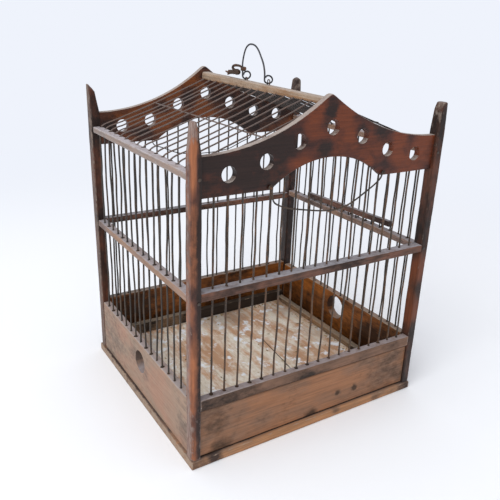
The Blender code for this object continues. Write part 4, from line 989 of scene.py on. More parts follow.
def limed_wood():
    material, tree, shader = new_material("flaking_limewash_on_pine")
    place, grain, dark = object_place(tree), stored(tree, "grain", "Vector"), stored(tree, "dark")
    stroke = stretched_noise(tree, place, (STROKE_WIDTH, STROKE_LENGTH, STROKE_WIDTH), 4, 0.62, 2.0)
    broad = stretched_noise(tree, place, (34 * MM, 46 * MM, 34 * MM), 3, 0.6, 5.0)
    flake = stretched_noise(tree, place, (FLAKE_SIZE, FLAKE_SIZE * 1.8, FLAKE_SIZE), 5, 0.7, 9.0)
    fibres = stretched_noise(tree, grain, (16 * MM, 0.8 * MM, 0.8 * MM), 2, 0.55, 1.0)
    wood_tone = mixed(tree, ranged(tree, broad, 0.35, 0.68), linear("BE9473"), linear("D8B190"))
    wood_tone = mixed(tree, ranged(tree, fibres, 0.35, 0.66, 0.0, 0.5), wood_tone, linear("A68060"))
    cover = plus(tree, stroke, times(tree, minus(tree, broad, 0.5), 0.55))
    cover = plus(tree, cover, times(tree, minus(tree, flake, 0.5), 0.30))
    cover = ranged(tree, cover, 0.40, 0.60)
    lime_tone = mixed(tree, ranged(tree, flake, 0.40, 0.62), linear("DACFBA"), linear("ECE6DA"))
    lime_tone = mixed(tree, ranged(tree, fibres, 0.52, 0.72, 0.0, 0.45), lime_tone, linear("B7A387"))
    colour = mixed(tree, times(tree, cover, 0.93), wood_tone, lime_tone)
    splash = stretched_noise(tree, place, (13 * MM, 15 * MM, 13 * MM), 4, 0.65, 23.0)
    colour = mixed(tree, ranged(tree, splash, 0.565, 0.64, 0.0, 0.92), colour, linear("EEF1F4"))
    # The floor's dark attribute is painted shade beside the rims; the flake noise adds real grime.
    rim_shade_and_grime = plus(tree, dark, ranged(tree, flake, 0.35, 0.65, -0.2, 0.2))
    colour = mixed(tree, ranged(tree, rim_shade_and_grime, 0.15, 1.0, 0.0, 0.75), colour, linear("7C7166"))
    specks = stretched_noise(tree, place, (1.3 * MM, 1.9 * MM, 1.3 * MM), 2, 0.6, 17.0)
    colour = mixed(tree, ranged(tree, specks, 0.70, 0.76, 0.0, 0.8), colour, linear("4C3B2E"))
    colour = mixed(tree, crack_line(tree, place), colour, linear("2E241C"))
    height = plus(tree, cover, times(tree, fibres, 0.5))
    brushed = bumps(tree, height, 0.5, 0.3 * MM)
    feed(tree, shader, {"Base Color": colour, "Roughness": 0.82, "Normal": brushed})
    return material


LIMED_PINE = limed_wood()

# %% Planks
# Grey painted shade beside the tray's rims and back.
FLOOR_RIM_SHADE = spots(((118, 0, 22), 40, 0.5), ((118, 80, 22), 50, 0.6), ((-118, 90, 22), 50, 0.5),
                    ((20, 112, 22), 60, 0.8), ((100, -70, 22), 30, 0.2))
for number, side in enumerate(("left", "middle", "right")):
    node = "tray_plank_" + side
    low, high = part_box(node)
    mesh = beam_mesh(low, high, 1, [0.6 * MM] * 4, 60.0 + number, 0.2)
    paint(mesh, 1, no_stain, FLOOR_RIM_SHADE, 50.0 + number)
    new_piece(node + "_wood", mesh, LIMED_PINE, "tray", [node])
print("Planks: 3")

# %% [markdown]
# ## Iron wires
# The bars are soft iron wire, cut and set by hand, so every one wanders a little between its
# holes and no two are alike. They begin as plain polylines, one per wire. A node tree turns
# them to curves, pushes each point by noise where it isn't held, varies the thickness a
# little and sweeps a round section. The same tree makes every wire of the cage.

# %% The wire tree
WIRE_SIDES = 8


def new_tree(name, sockets):
    """An empty node tree with a geometry in and out and the named inputs."""
    tree = bpy.data.node_groups.new(name, "GeometryNodeTree")
    tree.interface.new_socket("Geometry", in_out="INPUT", socket_type="NodeSocketGeometry")
    for label, kind in sockets:
        tree.interface.new_socket(label, in_out="INPUT", socket_type="NodeSocket" + kind)
    tree.interface.new_socket("Geometry", in_out="OUTPUT", socket_type="NodeSocketGeometry")
    return tree, add(tree, "NodeGroupInput").outputs


def vector_maths(tree, operation, first, second=None, scale=None):
    inputs = {0: first}
    if second is not None:
        inputs[1] = second
    if scale is not None:
        inputs["Scale"] = scale
    return add(tree, "ShaderNodeVectorMath", inputs, operation=operation).outputs[0]


def centred_noise(tree, length, phase, detail=1.0):
    """Noise colour less one half, with cells of the given length, by position and phase."""
    place = add(tree, "GeometryNodeInputPosition").outputs[0]
    scale = maths(tree, "DIVIDE", 1.0, length)
    made = add(tree, "ShaderNodeTexNoise", {
        "Vector": place, "W": phase, "Scale": scale, "Detail": detail}, noise_dimensions="4D")
    return vector_maths(tree, "SUBTRACT", made.outputs["Color"], (0.5, 0.5, 0.5)), made.outputs["Fac"]


def finish_tree(tree, geometry, material):
    """Every tree ends the same: realised, with its material set."""
    real = add(tree, "GeometryNodeRealizeInstances", {0: geometry}).outputs[0]
    smooth = add(tree, "GeometryNodeSetShadeSmooth", {"Geometry": real}).outputs[0]
    done = add(tree, "GeometryNodeSetMaterial", {"Geometry": smooth, "Material": material}).outputs[0]
    add(tree, "NodeGroupOutput", {0: done})


def make_wire_tree():
    tree, given = new_tree("hand_set_wires", (
        ("Radius", "Float"), ("Wobble", "Float"), ("Wobble Length", "Float"), ("Kink", "Float"),
        ("Kink Length", "Float"), ("Seed", "Float"), ("Sides", "Int"), ("Finish", "Material")))
    slack, wire, thick = [
        add(tree, "GeometryNodeInputNamedAttribute", {"Name": name}, data_type="FLOAT").outputs["Attribute"]
        for name in ("slack", "wire", "thick")]
    phase = plus(tree, times(tree, wire, 3.17), given["Seed"])
    sway, _ = centred_noise(tree, given["Wobble Length"], phase)
    bend, _ = centred_noise(tree, given["Kink Length"], phase)
    _, swell = centred_noise(tree, given["Kink Length"], given["Seed"], 2.0)
    sway = vector_maths(tree, "SCALE", sway, scale=times(tree, slack, given["Wobble"]))
    bend = vector_maths(tree, "SCALE", bend, scale=times(tree, slack, given["Kink"]))
    curve = add(tree, "GeometryNodeMeshToCurve", {"Mesh": given["Geometry"]}).outputs[0]
    moved = add(tree, "GeometryNodeSetPosition", {
        "Geometry": curve, "Offset": vector_maths(tree, "ADD", sway, bend)}).outputs[0]
    radius = times(tree, times(tree, given["Radius"], thick), ranged(tree, swell, 0.2, 0.8, 0.86, 1.10))
    sized = add(tree, "GeometryNodeSetCurveRadius", {"Curve": moved, "Radius": radius}).outputs[0]
    ring = add(tree, "GeometryNodeCurvePrimitiveCircle", {
        "Resolution": given["Sides"], "Radius": 1.0}).outputs[0]
    swept = add(tree, "GeometryNodeCurveToMesh", {
        "Curve": sized, "Profile Curve": ring, "Scale": radius, "Fill Caps": True}).outputs[0]
    finish_tree(tree, swept, given["Finish"])
    return tree


def bake(name, mesh, tree, **values):
    """Runs a mesh through a node tree and gives back the plain mesh."""
    item = bpy.data.objects.new(name, mesh)
    bpy.context.scene.collection.objects.link(item)
    modifier = item.modifiers.new("tree", "NODES")
    modifier.node_group = tree
    for socket in tree.interface.items_tree:
        if socket.in_out == "INPUT" and socket.name in values:
            modifier[socket.identifier] = values[socket.name]
    graph = bpy.context.evaluated_depsgraph_get()
    made = bpy.data.meshes.new_from_object(item.evaluated_get(graph))
    bpy.data.objects.remove(item)
    made.name = name
    return made


def layout(routes):
    """Polylines as a mesh of edges. Each route is a list of (place, slack, thickness)."""
    places, edges, slack, wire, thick = [], [], [], [], []
    for number, route in enumerate(routes):
        start = len(places)
        for place, loose, size in route:
            places.append(place)
            slack.append(loose)
            wire.append(float(number))
            thick.append(size)
        edges += [(i, i + 1) for i in range(start, len(places) - 1)]
    mesh = bpy.data.meshes.new("layout")
    mesh.from_pydata(places, edges, [])
    for label, values in (("slack", slack), ("wire", wire), ("thick", thick)):
        mesh.attributes.new(label, "FLOAT", "POINT").data.foreach_set("value", values)
    return mesh


WIRES = make_wire_tree()


def wires(name, routes, finish, radius, seed,
          wobble=0.0, wobble_length=50 * MM, kink=0.0, kink_length=9 * MM):
    """The mesh of some wires. Without wobble and kink they only swell a little, as drawn wire does."""
    return bake(name, layout(routes), WIRES, **{
        "Radius": radius, "Wobble": wobble, "Wobble Length": wobble_length, "Kink": kink,
        "Kink Length": kink_length, "Seed": seed, "Sides": WIRE_SIDES, "Finish": finish})

# %% [markdown]
# The wire itself is rusted iron: mostly a matt brown-black skin of old rust and grease that
# hides the metal, orange where damp got in, and bright only on rubbed spots. Rust is no metal,
# so the shader's metallic value follows the bare spots alone.

# %% Iron finishes


def rusted_iron(name, skin, rust, bare, bare_share=0.25, rust_share=0.5, rough=0.55):
    material, tree, shader = new_material(name)
    place = object_place(tree)
    broad = stretched_noise(tree, place, (14 * MM,) * 3, 3, 0.6, 1.0)
    fine = stretched_noise(tree, place, (1.6 * MM,) * 3, 4, 0.7, 6.0)
    rusty = plus(tree, broad, times(tree, minus(tree, fine, 0.5), 0.7))
    rusty = ranged(tree, rusty, 0.62 - rust_share * 0.3, 0.72 - rust_share * 0.2)
    rubbed = minus(tree, fine, times(tree, broad, 0.25))
    rubbed = times(tree, ranged(tree, rubbed, 0.50 - bare_share * 0.3, 0.60), bare_share)
    colour = mixed(tree, rusty, linear(skin), linear(rust))
    feed(tree, shader, {
        "Base Color": mixed(tree, rubbed, colour, linear(bare)), "Metallic": rubbed,
        "Roughness": ranged(tree, fine, 0.3, 0.7, rough - 0.1, rough + 0.2),
        "Normal": bumps(tree, fine, 0.6, 0.12 * MM)})
    return material


WALL_IRON = rusted_iron("greasy_rusted_iron_wire", "2B251F", "453424", "75685A", 0.15, 0.5, 0.42)
ROOF_IRON = rusted_iron("dusty_iron_wire", "665852", "6C564A", "A0958E", 0.2, 0.4, 0.42)
BAIL_IRON = rusted_iron("drawn_iron_bail", "303136", "403A38", "7F828A", 0.3, 0.3, 0.42)
TIE_RUST = rusted_iron("flaky_rust_tie_wire", "3E2C20", "6B452D", "7A6A5C", 0.1, 0.5, 0.7)
FRONT_IRON = rusted_iron("brown_rusted_iron_wire", "35281C", "593D26", "7E6850", 0.15, 0.5, 0.42)
# A darker copy of the roof iron for the right slope: painted shade on the slope that faces away from the
# lamp.
SHADED_ROOF_IRON = rusted_iron("painted_shade_roof_iron_wire", "2C2420", "3A2C24", "5E544E", 0.15, 0.5, 0.5)
NAIL_IRON = rusted_iron("struck_iron_nails", "34302D", "46372C", "6E6860", 0.2, 0.4, 0.5)

# %% Wire places
SEAT = 5 * MM               # how deep a wire sits in the wood
BAR_RADIUS = 1 * MM
FRONT_ROW_Y = 125 * MM
SIDE_ROW_X = 141.2 * MM
BACK_BOARD_TOP = 76 * MM
SIDE_BOARD_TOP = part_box("lower_board_left")[1].z
EAVE_Z = 286.5 * MM
EAVE_TOP = 293 * MM
RIDGE_TOP = 350.5 * MM
LEFT_YS = [(106.2 - 14.56 * i) * MM for i in range(16)]     # nearly even, and a little off centre
ROOF_YS = [(115.0 - 15.35 * i) * MM for i in range(16)]
WIRE_STEP = 5 * MM


def span_route(start, end, held, size=1.0):
    """Points of a straight wire. It can't move at the heights where it is held."""
    start, end = Vector(start), Vector(end)
    count = max(int((end - start).length / WIRE_STEP), 2)
    route = []
    for i in range(count + 1):
        place = start.lerp(end, i / count)
        below = [h for h in held if h <= place.z]
        above = [h for h in held if h > place.z]
        loose = 0.0
        if below and above:
            share = (place.z - below[-1]) / (above[0] - below[-1])
            loose = math.sin(math.pi * share) ** 0.6
        route.append((place, loose, size))
    return route


def wall(points, feet, heads, rail):
    """Upright wires through a mid rail, held at their foot, in the rail and at their head."""
    low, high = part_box(rail)
    routes = []
    for (x, y), foot, head in zip(points, feet, heads):
        held = sorted((foot, foot + SEAT, low.z, high.z, head - SEAT, head))
        held = [h for h in held if foot <= h <= head]
        routes.append(span_route((x, y, foot), (x, y, head), held))
    return routes


def front_wall(y, rail, foot_at):
    return wall([(x, y) for x in FRONT_XS], [foot_at(x) - SEAT for x in FRONT_XS],
                [gable_foot(x) + SEAT for x in FRONT_XS], rail)


def side_wall(x, ys, rail, foot=SIDE_BOARD_TOP - SEAT):
    return wall([(x, y) for y in ys], [foot] * len(ys), [EAVE_Z + SEAT] * len(ys), rail)


MID_RIGHT_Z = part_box("mid_rail_right")[0].z
RAIL_GAP = 0.3 * MM
WALLS = {
    "front_bars": front_wall(-FRONT_ROW_Y, "mid_rail_front", strip_top),
    "back_bars": front_wall(FRONT_ROW_Y, "mid_rail_back", lambda x: BACK_BOARD_TOP),
    "left_bars": side_wall(-SIDE_ROW_X, LEFT_YS, "mid_rail_left"),
    "right_bars_front": side_wall(SIDE_ROW_X, SIDE_YS[:3], "mid_rail_right"),
    "right_bars_back": side_wall(SIDE_ROW_X, SIDE_YS[13:], "mid_rail_right"),
    "right_bars_upper": side_wall(SIDE_ROW_X, DOOR_YS, "mid_rail_right", MID_RIGHT_Z + RAIL_GAP),
}

# %% Wall wires
for number, (node, routes) in enumerate(WALLS.items()):
    finish = FRONT_IRON if node == "front_bars" else WALL_IRON
    mesh = wires(node, routes, finish, BAR_RADIUS, 2.0 + number, 5.0 * MM, 80 * MM, 1.0 * MM, 17 * MM)
    new_piece(node + "_wire", mesh, finish, "cage", [node])
print("Wall wires:", sum(len(routes) for routes in WALLS.values()))

# %% [markdown]
# ## Roof wires
# Each roof wire leaves a slanting hole at the eave rail's inner edge, bends at once and runs
# nearly straight up to the foot of the ridge. One wire crosses them at each side and ties them.
# The points come from a short curve and a flat parabola. The right slope is the straighter one.

# %% Roof
ROOF_FOOT = Vector((138.5, 289.5)) * MM
ROOF_EXIT = Vector((136.4, 293.2)) * MM
ROOF_KNEE = Vector((134.2, 296.2)) * MM
ROOF_LOWS = {-1: Vector((131, 296.4)) * MM, 1: Vector((131, 298.6)) * MM}
ROOF_HIGH = Vector((5.5, 343.3)) * MM
ROOF_SAGS = {-1: 1.8 * MM, 1: 0.2 * MM}
ROOF_HEAD_SEAT = 2.5 * MM
ROOF_STEPS = 24
ROOF_START = 0.06
ROOF_VARIES = 0.6           # how unlike the sags are
ROOF_DRIFTS = {-1: 1.6 * MM, 1: 0.4 * MM}       # how far a head may stand off its foot's place
ROOF_WOBBLES = {-1: 2.6 * MM, 1: 0.5 * MM}
ROOF_RADIUS = 0.86 * BAR_RADIUS
PURLIN_XS = {-1: 69.5 * MM, 1: 58 * MM}
PURLIN_UNDER = 0.5 * MM
PURLIN_END = 123.5 * MM
PURLIN_STEPS = 50


def roof_place(side, share, sag):
    place = ROOF_LOWS[side].lerp(ROOF_HIGH, share)
    place.y -= 4 * sag * share * (1 - share)
    return place


def purlin_share(side):
    return (ROOF_LOWS[side].x - PURLIN_XS[side]) / (ROOF_LOWS[side].x - ROOF_HIGH.x)


def roof_profile(side, sag):
    """The short rise out of the eave, the sag and the seat in the ridge: (place, slack, share)."""
    after = roof_place(side, ROOF_START, sag)
    points = [(ROOF_FOOT, 0.0, 0.0), (ROOF_EXIT, 0.0, 0.0)]
    for i in range(1, 6):
        s = i / 6
        bend = ROOF_EXIT * (1 - s) ** 2 + ROOF_KNEE * 2 * s * (1 - s) + after * s ** 2
        points.append((bend, 0.15 * s, 0.0))
    for i in range(ROOF_STEPS + 1):
        share = ROOF_START + (1 - ROOF_START) * i / ROOF_STEPS
        near_purlin = min(1.0, abs(share - purlin_share(side)) * 6)
        points.append((roof_place(side, share, sag), min(1.0, (1 - share) * 6) * near_purlin, share))
    run = (points[-1][0] - points[-2][0]).normalized()
    points.append((ROOF_HIGH + run * ROOF_HEAD_SEAT, 0.0, 1.0))
    return points


chance = random.Random(11)
for side, node in ((-1, "roof_bars_left"), (1, "roof_bars_right")):
    routes = []
    for y in ROOF_YS:
        sag = ROOF_SAGS[side] * (1 + chance.uniform(-ROOF_VARIES, ROOF_VARIES))
        drift = chance.uniform(-ROOF_DRIFTS[side], ROOF_DRIFTS[side])
        routes.append([(Vector((side * p.x, y + drift * share, p.y)), slack, 0.95)
                       for p, slack, share in roof_profile(side, sag)])
    z = roof_place(side, purlin_share(side), ROOF_SAGS[side]).y - PURLIN_UNDER
    purlin = [(Vector((side * PURLIN_XS[side], PURLIN_END * (2 * i / PURLIN_STEPS - 1), z)), 0.35, 0.9)
              for i in range(PURLIN_STEPS + 1)]
    # The right slope gets the darker copy of the iron: painted shade.
    finish = ROOF_IRON if side < 0 else SHADED_ROOF_IRON
    mesh = wires(node, routes + [purlin], finish, ROOF_RADIUS, 30.0 + side,
                 ROOF_WOBBLES[side], 60 * MM, 0.6 * MM, 16 * MM)
    new_piece(node + "_wire", mesh, finish, "cage", [node])
print("Roof wires:", 2 * len(ROOF_YS), "and 2 purlins")

# %% [markdown]
# ## The lift-up door
# Ten wires hang from a thin wooden bar inside the right wall and run down through holes in
# the mid rail into the lower board. They slide, so they are nearly straight.
# The bar lies a little crooked, lower at its back end.

# %% Door
DOOR_LENGTH = 155 * MM
DOOR_RISE = 4.5 * MM
DOOR_Y = -2.5 * MM
RAIL_HEIGHT = 7.5 * MM
DOOR_LIFT = 3.8 * MM        # the bar's height over the rail at rest
DOOR_UNDER = MID_RIGHT_Z + RAIL_HEIGHT + DOOR_LIFT
DOOR_HALF_HEIGHT = 3.5 * MM
low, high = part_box("door_bar")


def door_under(y):
    return DOOR_UNDER - (y - DOOR_Y) * DOOR_RISE / DOOR_LENGTH


def door_profile(y):
    return (high.x - low.x) / 2, DOOR_HALF_HEIGHT, (low.x + high.x) / 2, door_under(y) + DOOR_HALF_HEIGHT


mesh = beam_mesh(low, high, 1, [0.9 * MM] * 4, 71.0, 0.6, door_profile)
paint(mesh, 1, wear(low, high, 0.4), spots(((135, -70, 192), 30, 1.0), ((135, 68, 188), 25, 0.3)), 70.0)
new_piece("door_bar_wood", mesh, BROWN_SHELLAC, "door", ["door_bar"])
routes = [span_route((DOOR_ROW_X, y, DOOR_FOOT), (DOOR_ROW_X, y, door_under(y) + SEAT),
                     (DOOR_FOOT, door_under(y))) for y in DOOR_YS]
mesh = wires("door_wires", routes, WALL_IRON, BAR_RADIUS * 0.95, 40.0, 0.5 * MM, 60 * MM, 0.0, 17 * MM)
new_piece("door_wires_wire", mesh, WALL_IRON, "door", ["door_wires"])
print("Door wires:", len(routes))

# %% [markdown]
# ## Bail, tie and slung wire
# The handle is one springy wire with an eye at each foot, caught under two staples. A stiff
# twist of rusty tie wire is wound on its back leg. Another wire is slung from two nails at
# the corners of the front arch, and a third hangs in the back arch. All follow smooth curves
# through given points.

# %% Smooth routes
EYE_Z = 356.25 * MM
BAIL_X = -5.2 * MM
BAIL_RADIUS = 0.9 * MM
BAIL_BACK_Y = 26.5 * MM
BAIL_FRONT_Y = -17.2 * MM
# Each eye: across to its middle and half its width, up to its middle and half its height, and lift.
BACK_EYE = (-0.15 * MM, 5.05 * MM, 355.6 * MM, 4.0 * MM, 0.0)
FRONT_EYE = (-0.2 * MM, 4.95 * MM, 354.6 * MM, 3.4 * MM, 2.4 * MM)
BAIL_HEIGHT = 32 * MM
EYE_TURN_STEPS = 28
EYE_DRIFT = 1.95 * MM
BAIL_ARCH = ((0.0, 0.09), (0.0, 0.21), (-0.014, 0.33), (0.016, 0.545), (0.087, 0.778), (0.178, 0.922),
             (0.330, 1.0), (0.524, 0.975), (0.677, 0.856), (0.815, 0.647), (0.922, 0.451),
             (0.982, 0.251), (1.0, 0.12))


def smooth_route(points, steps):
    """A smooth line through points: a Catmull-Rom curve with its ends doubled."""
    padded = [points[0]] + list(points) + [points[-1]]
    route = []
    for a, b, c, d in zip(padded, padded[1:], padded[2:], padded[3:]):
        for i in range(steps):
            t = i / steps
            route.append(0.5 * (2 * b + (c - a) * t + (2 * a - 5 * b + 4 * c - d) * t ** 2
                                + (3 * b - a - 3 * c + d) * t ** 3))
    route.append(Vector(points[-1]))
    return route


def eye_route(middle_y, eye):
    """One turn from the leg's foot round by the ridge and back beside the leg."""
    middle_x, half_x, middle_z, half_z, lift = eye
    route = []
    for i in range(EYE_TURN_STEPS + 1):
        share = i / EYE_TURN_STEPS
        turn = math.pi * (1 + 2 * share)
        late = max(0.0, share - 0.58) / 0.42
        route.append(Vector((middle_x + half_x * math.cos(turn), middle_y - EYE_DRIFT * late,
                             middle_z + half_z * math.sin(turn) + lift * late)))
    return route


def sweep(name, routes, radius, material, body, nodes, seed, slot=None):
    """A piece of held wires: no wobble, only the small swelling of the wire itself."""
    routes = [[(place, 0.0, size) for place, size in route] for route in routes]
    return new_piece(name, wires(name, routes, material, radius, seed), material, body, nodes, slot)


def plain(route):
    return [(place, 1.0) for place in route]


# %% Bail and staples
arch = [Vector((BAIL_X, BAIL_BACK_Y + (BAIL_FRONT_Y - BAIL_BACK_Y) * along, EYE_Z + up * BAIL_HEIGHT))
        for along, up in BAIL_ARCH]
arch = [Vector((p.x, p.y, min(p.z, EYE_Z + BAIL_HEIGHT))) for p in smooth_route(arch, 4)]
bail = list(reversed(eye_route(BAIL_BACK_Y, BACK_EYE))) + arch + eye_route(BAIL_FRONT_Y, FRONT_EYE)
sweep("bail_handle_wire", [plain(bail)], BAIL_RADIUS, BAIL_IRON, "bail", ["bail_handle"], 50.0)
STAPLE_REACH = 1.9 * MM
STAPLE_CROWN = 0.9 * MM
STAPLE_FOOT = RIDGE_TOP - 4.8 * MM
STAPLES = {                 # where each stands, and how high its rounded crown starts
    "bail_staple_back": (BAIL_BACK_Y, 1.85 * MM),
    "bail_staple_front": (BAIL_FRONT_Y - 0.25 * MM, 3.5 * MM),
}
for node, (y, rise) in STAPLES.items():
    shoulder = RIDGE_TOP + rise
    places = [(-STAPLE_REACH, STAPLE_FOOT), (-STAPLE_REACH, shoulder)]
    places += [(STAPLE_REACH * math.cos(a), shoulder + STAPLE_CROWN * math.sin(a))
               for a in (math.pi * (1 - i / 8) for i in range(1, 8))]
    places += [(STAPLE_REACH, shoulder), (STAPLE_REACH, STAPLE_FOOT)]
    route = [Vector((0, y + aside, up)) for aside, up in places]
    sweep(node + "_wire", [plain(route)], 0.55 * MM, TIE_RUST, "cage", [node], 51.0)

# %% Twisted tie
KNOT_MIDDLE = Vector((BAIL_X + 0.6 * MM, BAIL_BACK_Y - 0.5 * MM, 360.8 * MM))
KNOT_RISE = 2.6 * MM        # how far the turns climb the leg
KNOT_WRAP = 2.0 * MM
KNOT_TURNS = 2.25
KNOT_STRAND = 0.66 * MM
KNOT_BULK = 1.15 * MM       # how far the strands of the thick part wind from its middle
SPLAYED = 1.65              # past this bulk the strands no longer wind, but stand apart
KNOT_ROUTE = (              # aside, along and up in millimetres, and the bulk
    (-7.0, 29.5, 365.0, 0.5), (-7.2, 33.5, 365.2, 0.6), (-7.2, 38.5, 365.0, 0.6), (-7.0, 43.0, 364.1, 0.6),
    (-6.8, 45.2, 362.3, 0.6), (-6.6, 43.6, 360.5, 0.7), (-6.4, 39.5, 359.5, 0.8), (-6.2, 35.0, 359.6, 1.0),
    (-6.0, 33.3, 358.2, 1.2), (-6.0, 36.0, 357.3, 1.45), (-5.8, 40.8, 357.4, 1.35), (-5.2, 46.2, 357.2, 1.5),
    (-4.4, 51.8, 356.9, 1.5), (-4.2, 55.6, 356.4, 1.4), (-4.2, 58.0, 356.1, 1.6), (-4.2, 61.0, 355.9, 2.1))
STRAND_PITCH = 5.5 * MM


def knot_centre_line():
    """Two turns and a quarter round the bail's leg, then the listed tail. The fourth value is bulk."""
    points = []
    for i in range(20):
        angle = 2 * math.pi * KNOT_TURNS * i / 19
        aside = Vector((KNOT_WRAP * math.cos(angle), KNOT_WRAP * math.sin(angle), KNOT_RISE * i / 19))
        points.append(Vector((*(KNOT_MIDDLE + aside), 0.45)))
    points += [Vector((aside * MM, along * MM, up * MM, bulk)) for aside, along, up, bulk in KNOT_ROUTE]
    return smooth_route(points, 5)


def twisted(line, strands):
    """Strands that wind round a line at the line's own bulk."""
    routes = [[] for _ in range(strands)]
    run = 0.0
    for i, spot in enumerate(line):
        place, bulk = spot.to_3d(), spot.w
        ahead, behind = line[min(i + 1, len(line) - 1)].to_3d(), line[max(i - 1, 0)].to_3d()
        along = (ahead - behind).normalized()
        aside = along.cross(Vector((0.3, 0.2, 0.93))).normalized()
        over = along.cross(aside)
        run += (place - behind).length * (0.1 if bulk > SPLAYED else 1.0)
        for k in range(strands):
            angle = 2 * math.pi * (run / STRAND_PITCH + k / strands)
            reach = KNOT_BULK * bulk
            routes[k].append((place + aside * (reach * math.cos(angle)) + over * (reach * math.sin(angle)),
                              1.0 + 0.35 * min(bulk, 1.0)))
    return routes


sweep("bail_knot_twist", twisted(knot_centre_line(), 3), KNOT_STRAND, TIE_RUST, "bail", ["bail_knot"], 52.0)

# %% Slung wire
NAIL_X = 67.5 * MM
NAIL_Z = 274.8 * MM
ARCH_WIRE_Y = -129.0 * MM
HOOK = 1.7 * MM
SLUNG = (                   # across and up, in millimetres
    (-65.8, 274.8), (-65.6, 268.0), (-62.5, 260.0), (-51.0, 254.4), (-39.1, 251.3), (-23.5, 248.2),
    (-15.0, 246.6), (-6.3, 245.3), (2.0, 244.6), (11.3, 244.6), (22.6, 246.7), (32.6, 250.6),
    (43.7, 256.5), (53.5, 261.9), (60.5, 266.6), (64.6, 270.6), (65.8, 274.8))
BACK_SLUNG_Y = 124.0 * MM
BACK_SLUNG = (              # one half of it, across and up in millimetres
    (71.0, 275.5), (70.6, 269.5), (68.0, 265.6), (62.0, 263.2), (56.5, 261.3), (47.0, 257.3), (38.0, 253.9),
    (27.5, 252.0), (12.0, 250.6))
swag = smooth_route([Vector((x * MM, ARCH_WIRE_Y, z * MM)) for x, z in SLUNG], 4)
hook = [Vector((NAIL_X - HOOK * math.cos(a), ARCH_WIRE_Y, NAIL_Z + HOOK * math.sin(a)))
        for a in (math.pi * i / 8 for i in range(1, 11))]
other_hook = [Vector((-p.x, p.y, p.z)) for p in reversed(hook)]
sweep("arch_wire_wire", [plain(other_hook + swag + hook)], 0.8 * MM, WALL_IRON, "cage", ["arch_wire"], 53.0)
half = [Vector((-x * MM, BACK_SLUNG_Y, z * MM)) for x, z in BACK_SLUNG]
back_slung = smooth_route(half + [Vector((-p.x, p.y, p.z)) for p in reversed(half)], 4)
sweep("back_slung_wire", [plain(back_slung)], 0.6 * MM, WALL_IRON, "cage", [], 54.0, slot_of["arch_wire"])
print("Bail, tie and slung wire made")

# %% [markdown]
# ## Nails, dirt and husks
# Round-headed nails hold the rails in the posts. Grease and dust gather in little collars where
# a wire enters the wood, and husks lie in the tray's corners; the collars' dark is partly painted
# shade in that crease. Both are small lumps that a tree drops on given points, each with its own
# turn and size, so no two look alike.

# %% Nails
NAIL_HEAD = 1.7 * MM
NAIL_SHANK = 0.8 * MM
NAIL_SIDES = 14
NAIL_NODES = [row["node"] for row in frame["record"]["subparts"] if "nail_" in row["node"]]


def nail_mesh(node, turn):
    """A shank with a hand-struck, slightly domed head at its outer end."""
    low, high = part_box(node)
    outer, inner = (low.y, high.y) if abs(low.y) > abs(high.y) else (high.y, low.y)
    inward = 1 if inner > outer else -1
    middle_x, middle_z = (low.x + high.x) / 2, (low.z + high.z) / 2
    head = min(NAIL_HEAD, (high.x - low.x) / 2)
    rows = ((0.0, 0.35), (0.12, 0.75), (0.4, 1.0), (0.95, 0.98))
    rings = [(outer + inward * depth * MM, head * share) for depth, share in rows]
    rings += [(outer + inward * 1.1 * MM, NAIL_SHANK), (inner, NAIL_SHANK * 0.7)]
    placed = []
    for y, radius in rings:
        ring = []
        for i in range(NAIL_SIDES):
            angle = 2 * math.pi * i / NAIL_SIDES
            dented = radius * (1 - 0.10 * max(0.0, math.cos(angle * 2 + turn)))
            ring.append(Vector((middle_x + dented * math.cos(angle), y, middle_z + dented * math.sin(angle))))
        placed.append(ring)
    mesh = loft(placed)
    mesh.shade_smooth()
    mesh.set_sharp_from_angle(angle=SHARP_ANGLE)
    return mesh


for number, node in enumerate(NAIL_NODES):
    finish = TIE_RUST if "arch" in node else NAIL_IRON
    new_piece(node + "_iron", nail_mesh(node, number * 1.3), finish, "cage", [node])
print("Nails:", len(NAIL_NODES))

# %% The scatter tree
FULL_TURN = 6.283
def make_scatter_tree():
    tree, given = new_tree("scattered_lumps", (
        ("Size", "Float"), ("Length", "Float"), ("Height", "Float"), ("Roughness", "Float"),
        ("Tilt", "Float"), ("Seed", "Int"), ("Finish", "Material")))
    lump = add(tree, "GeometryNodeMeshIcoSphere", {"Radius": 1.0, "Subdivisions": 2}).outputs[0]
    jag, _ = centred_noise(tree, 0.8, 1.0, 2.0)
    lump = add(tree, "GeometryNodeSetPosition", {
        "Geometry": lump, "Offset": vector_maths(tree, "SCALE", jag, scale=given["Roughness"])}).outputs[0]
    shape = add(tree, "ShaderNodeCombineXYZ", {
        0: times(tree, given["Size"], given["Length"]), 1: given["Size"],
        2: times(tree, given["Size"], given["Height"])})
    lump = add(tree, "GeometryNodeTransform", {"Geometry": lump, "Scale": shape.outputs[0]}).outputs[0]
    low_turn = add(tree, "ShaderNodeCombineXYZ", {0: times(tree, given["Tilt"], -1.0), 1: 0.0, 2: 0.0})
    high_turn = add(tree, "ShaderNodeCombineXYZ", {0: given["Tilt"], 1: given["Tilt"], 2: FULL_TURN})
    turn = add(tree, "FunctionNodeRandomValue", {
        0: low_turn.outputs[0], 1: high_turn.outputs[0], "Seed": given["Seed"]},
        data_type="FLOAT_VECTOR").outputs[0]
    size = add(tree, "FunctionNodeRandomValue", {2: 0.65, 3: 1.35, "Seed": given["Seed"]}).outputs[1]
    placed = add(tree, "GeometryNodeInstanceOnPoints", {
        "Points": given["Geometry"], "Instance": lump, "Rotation": turn, "Scale": size}).outputs[0]
    finish_tree(tree, placed, given["Finish"])
    return tree


SCATTER = make_scatter_tree()


def point_mesh(points):
    mesh = bpy.data.meshes.new("points")
    mesh.from_pydata(points, [], [])
    return mesh


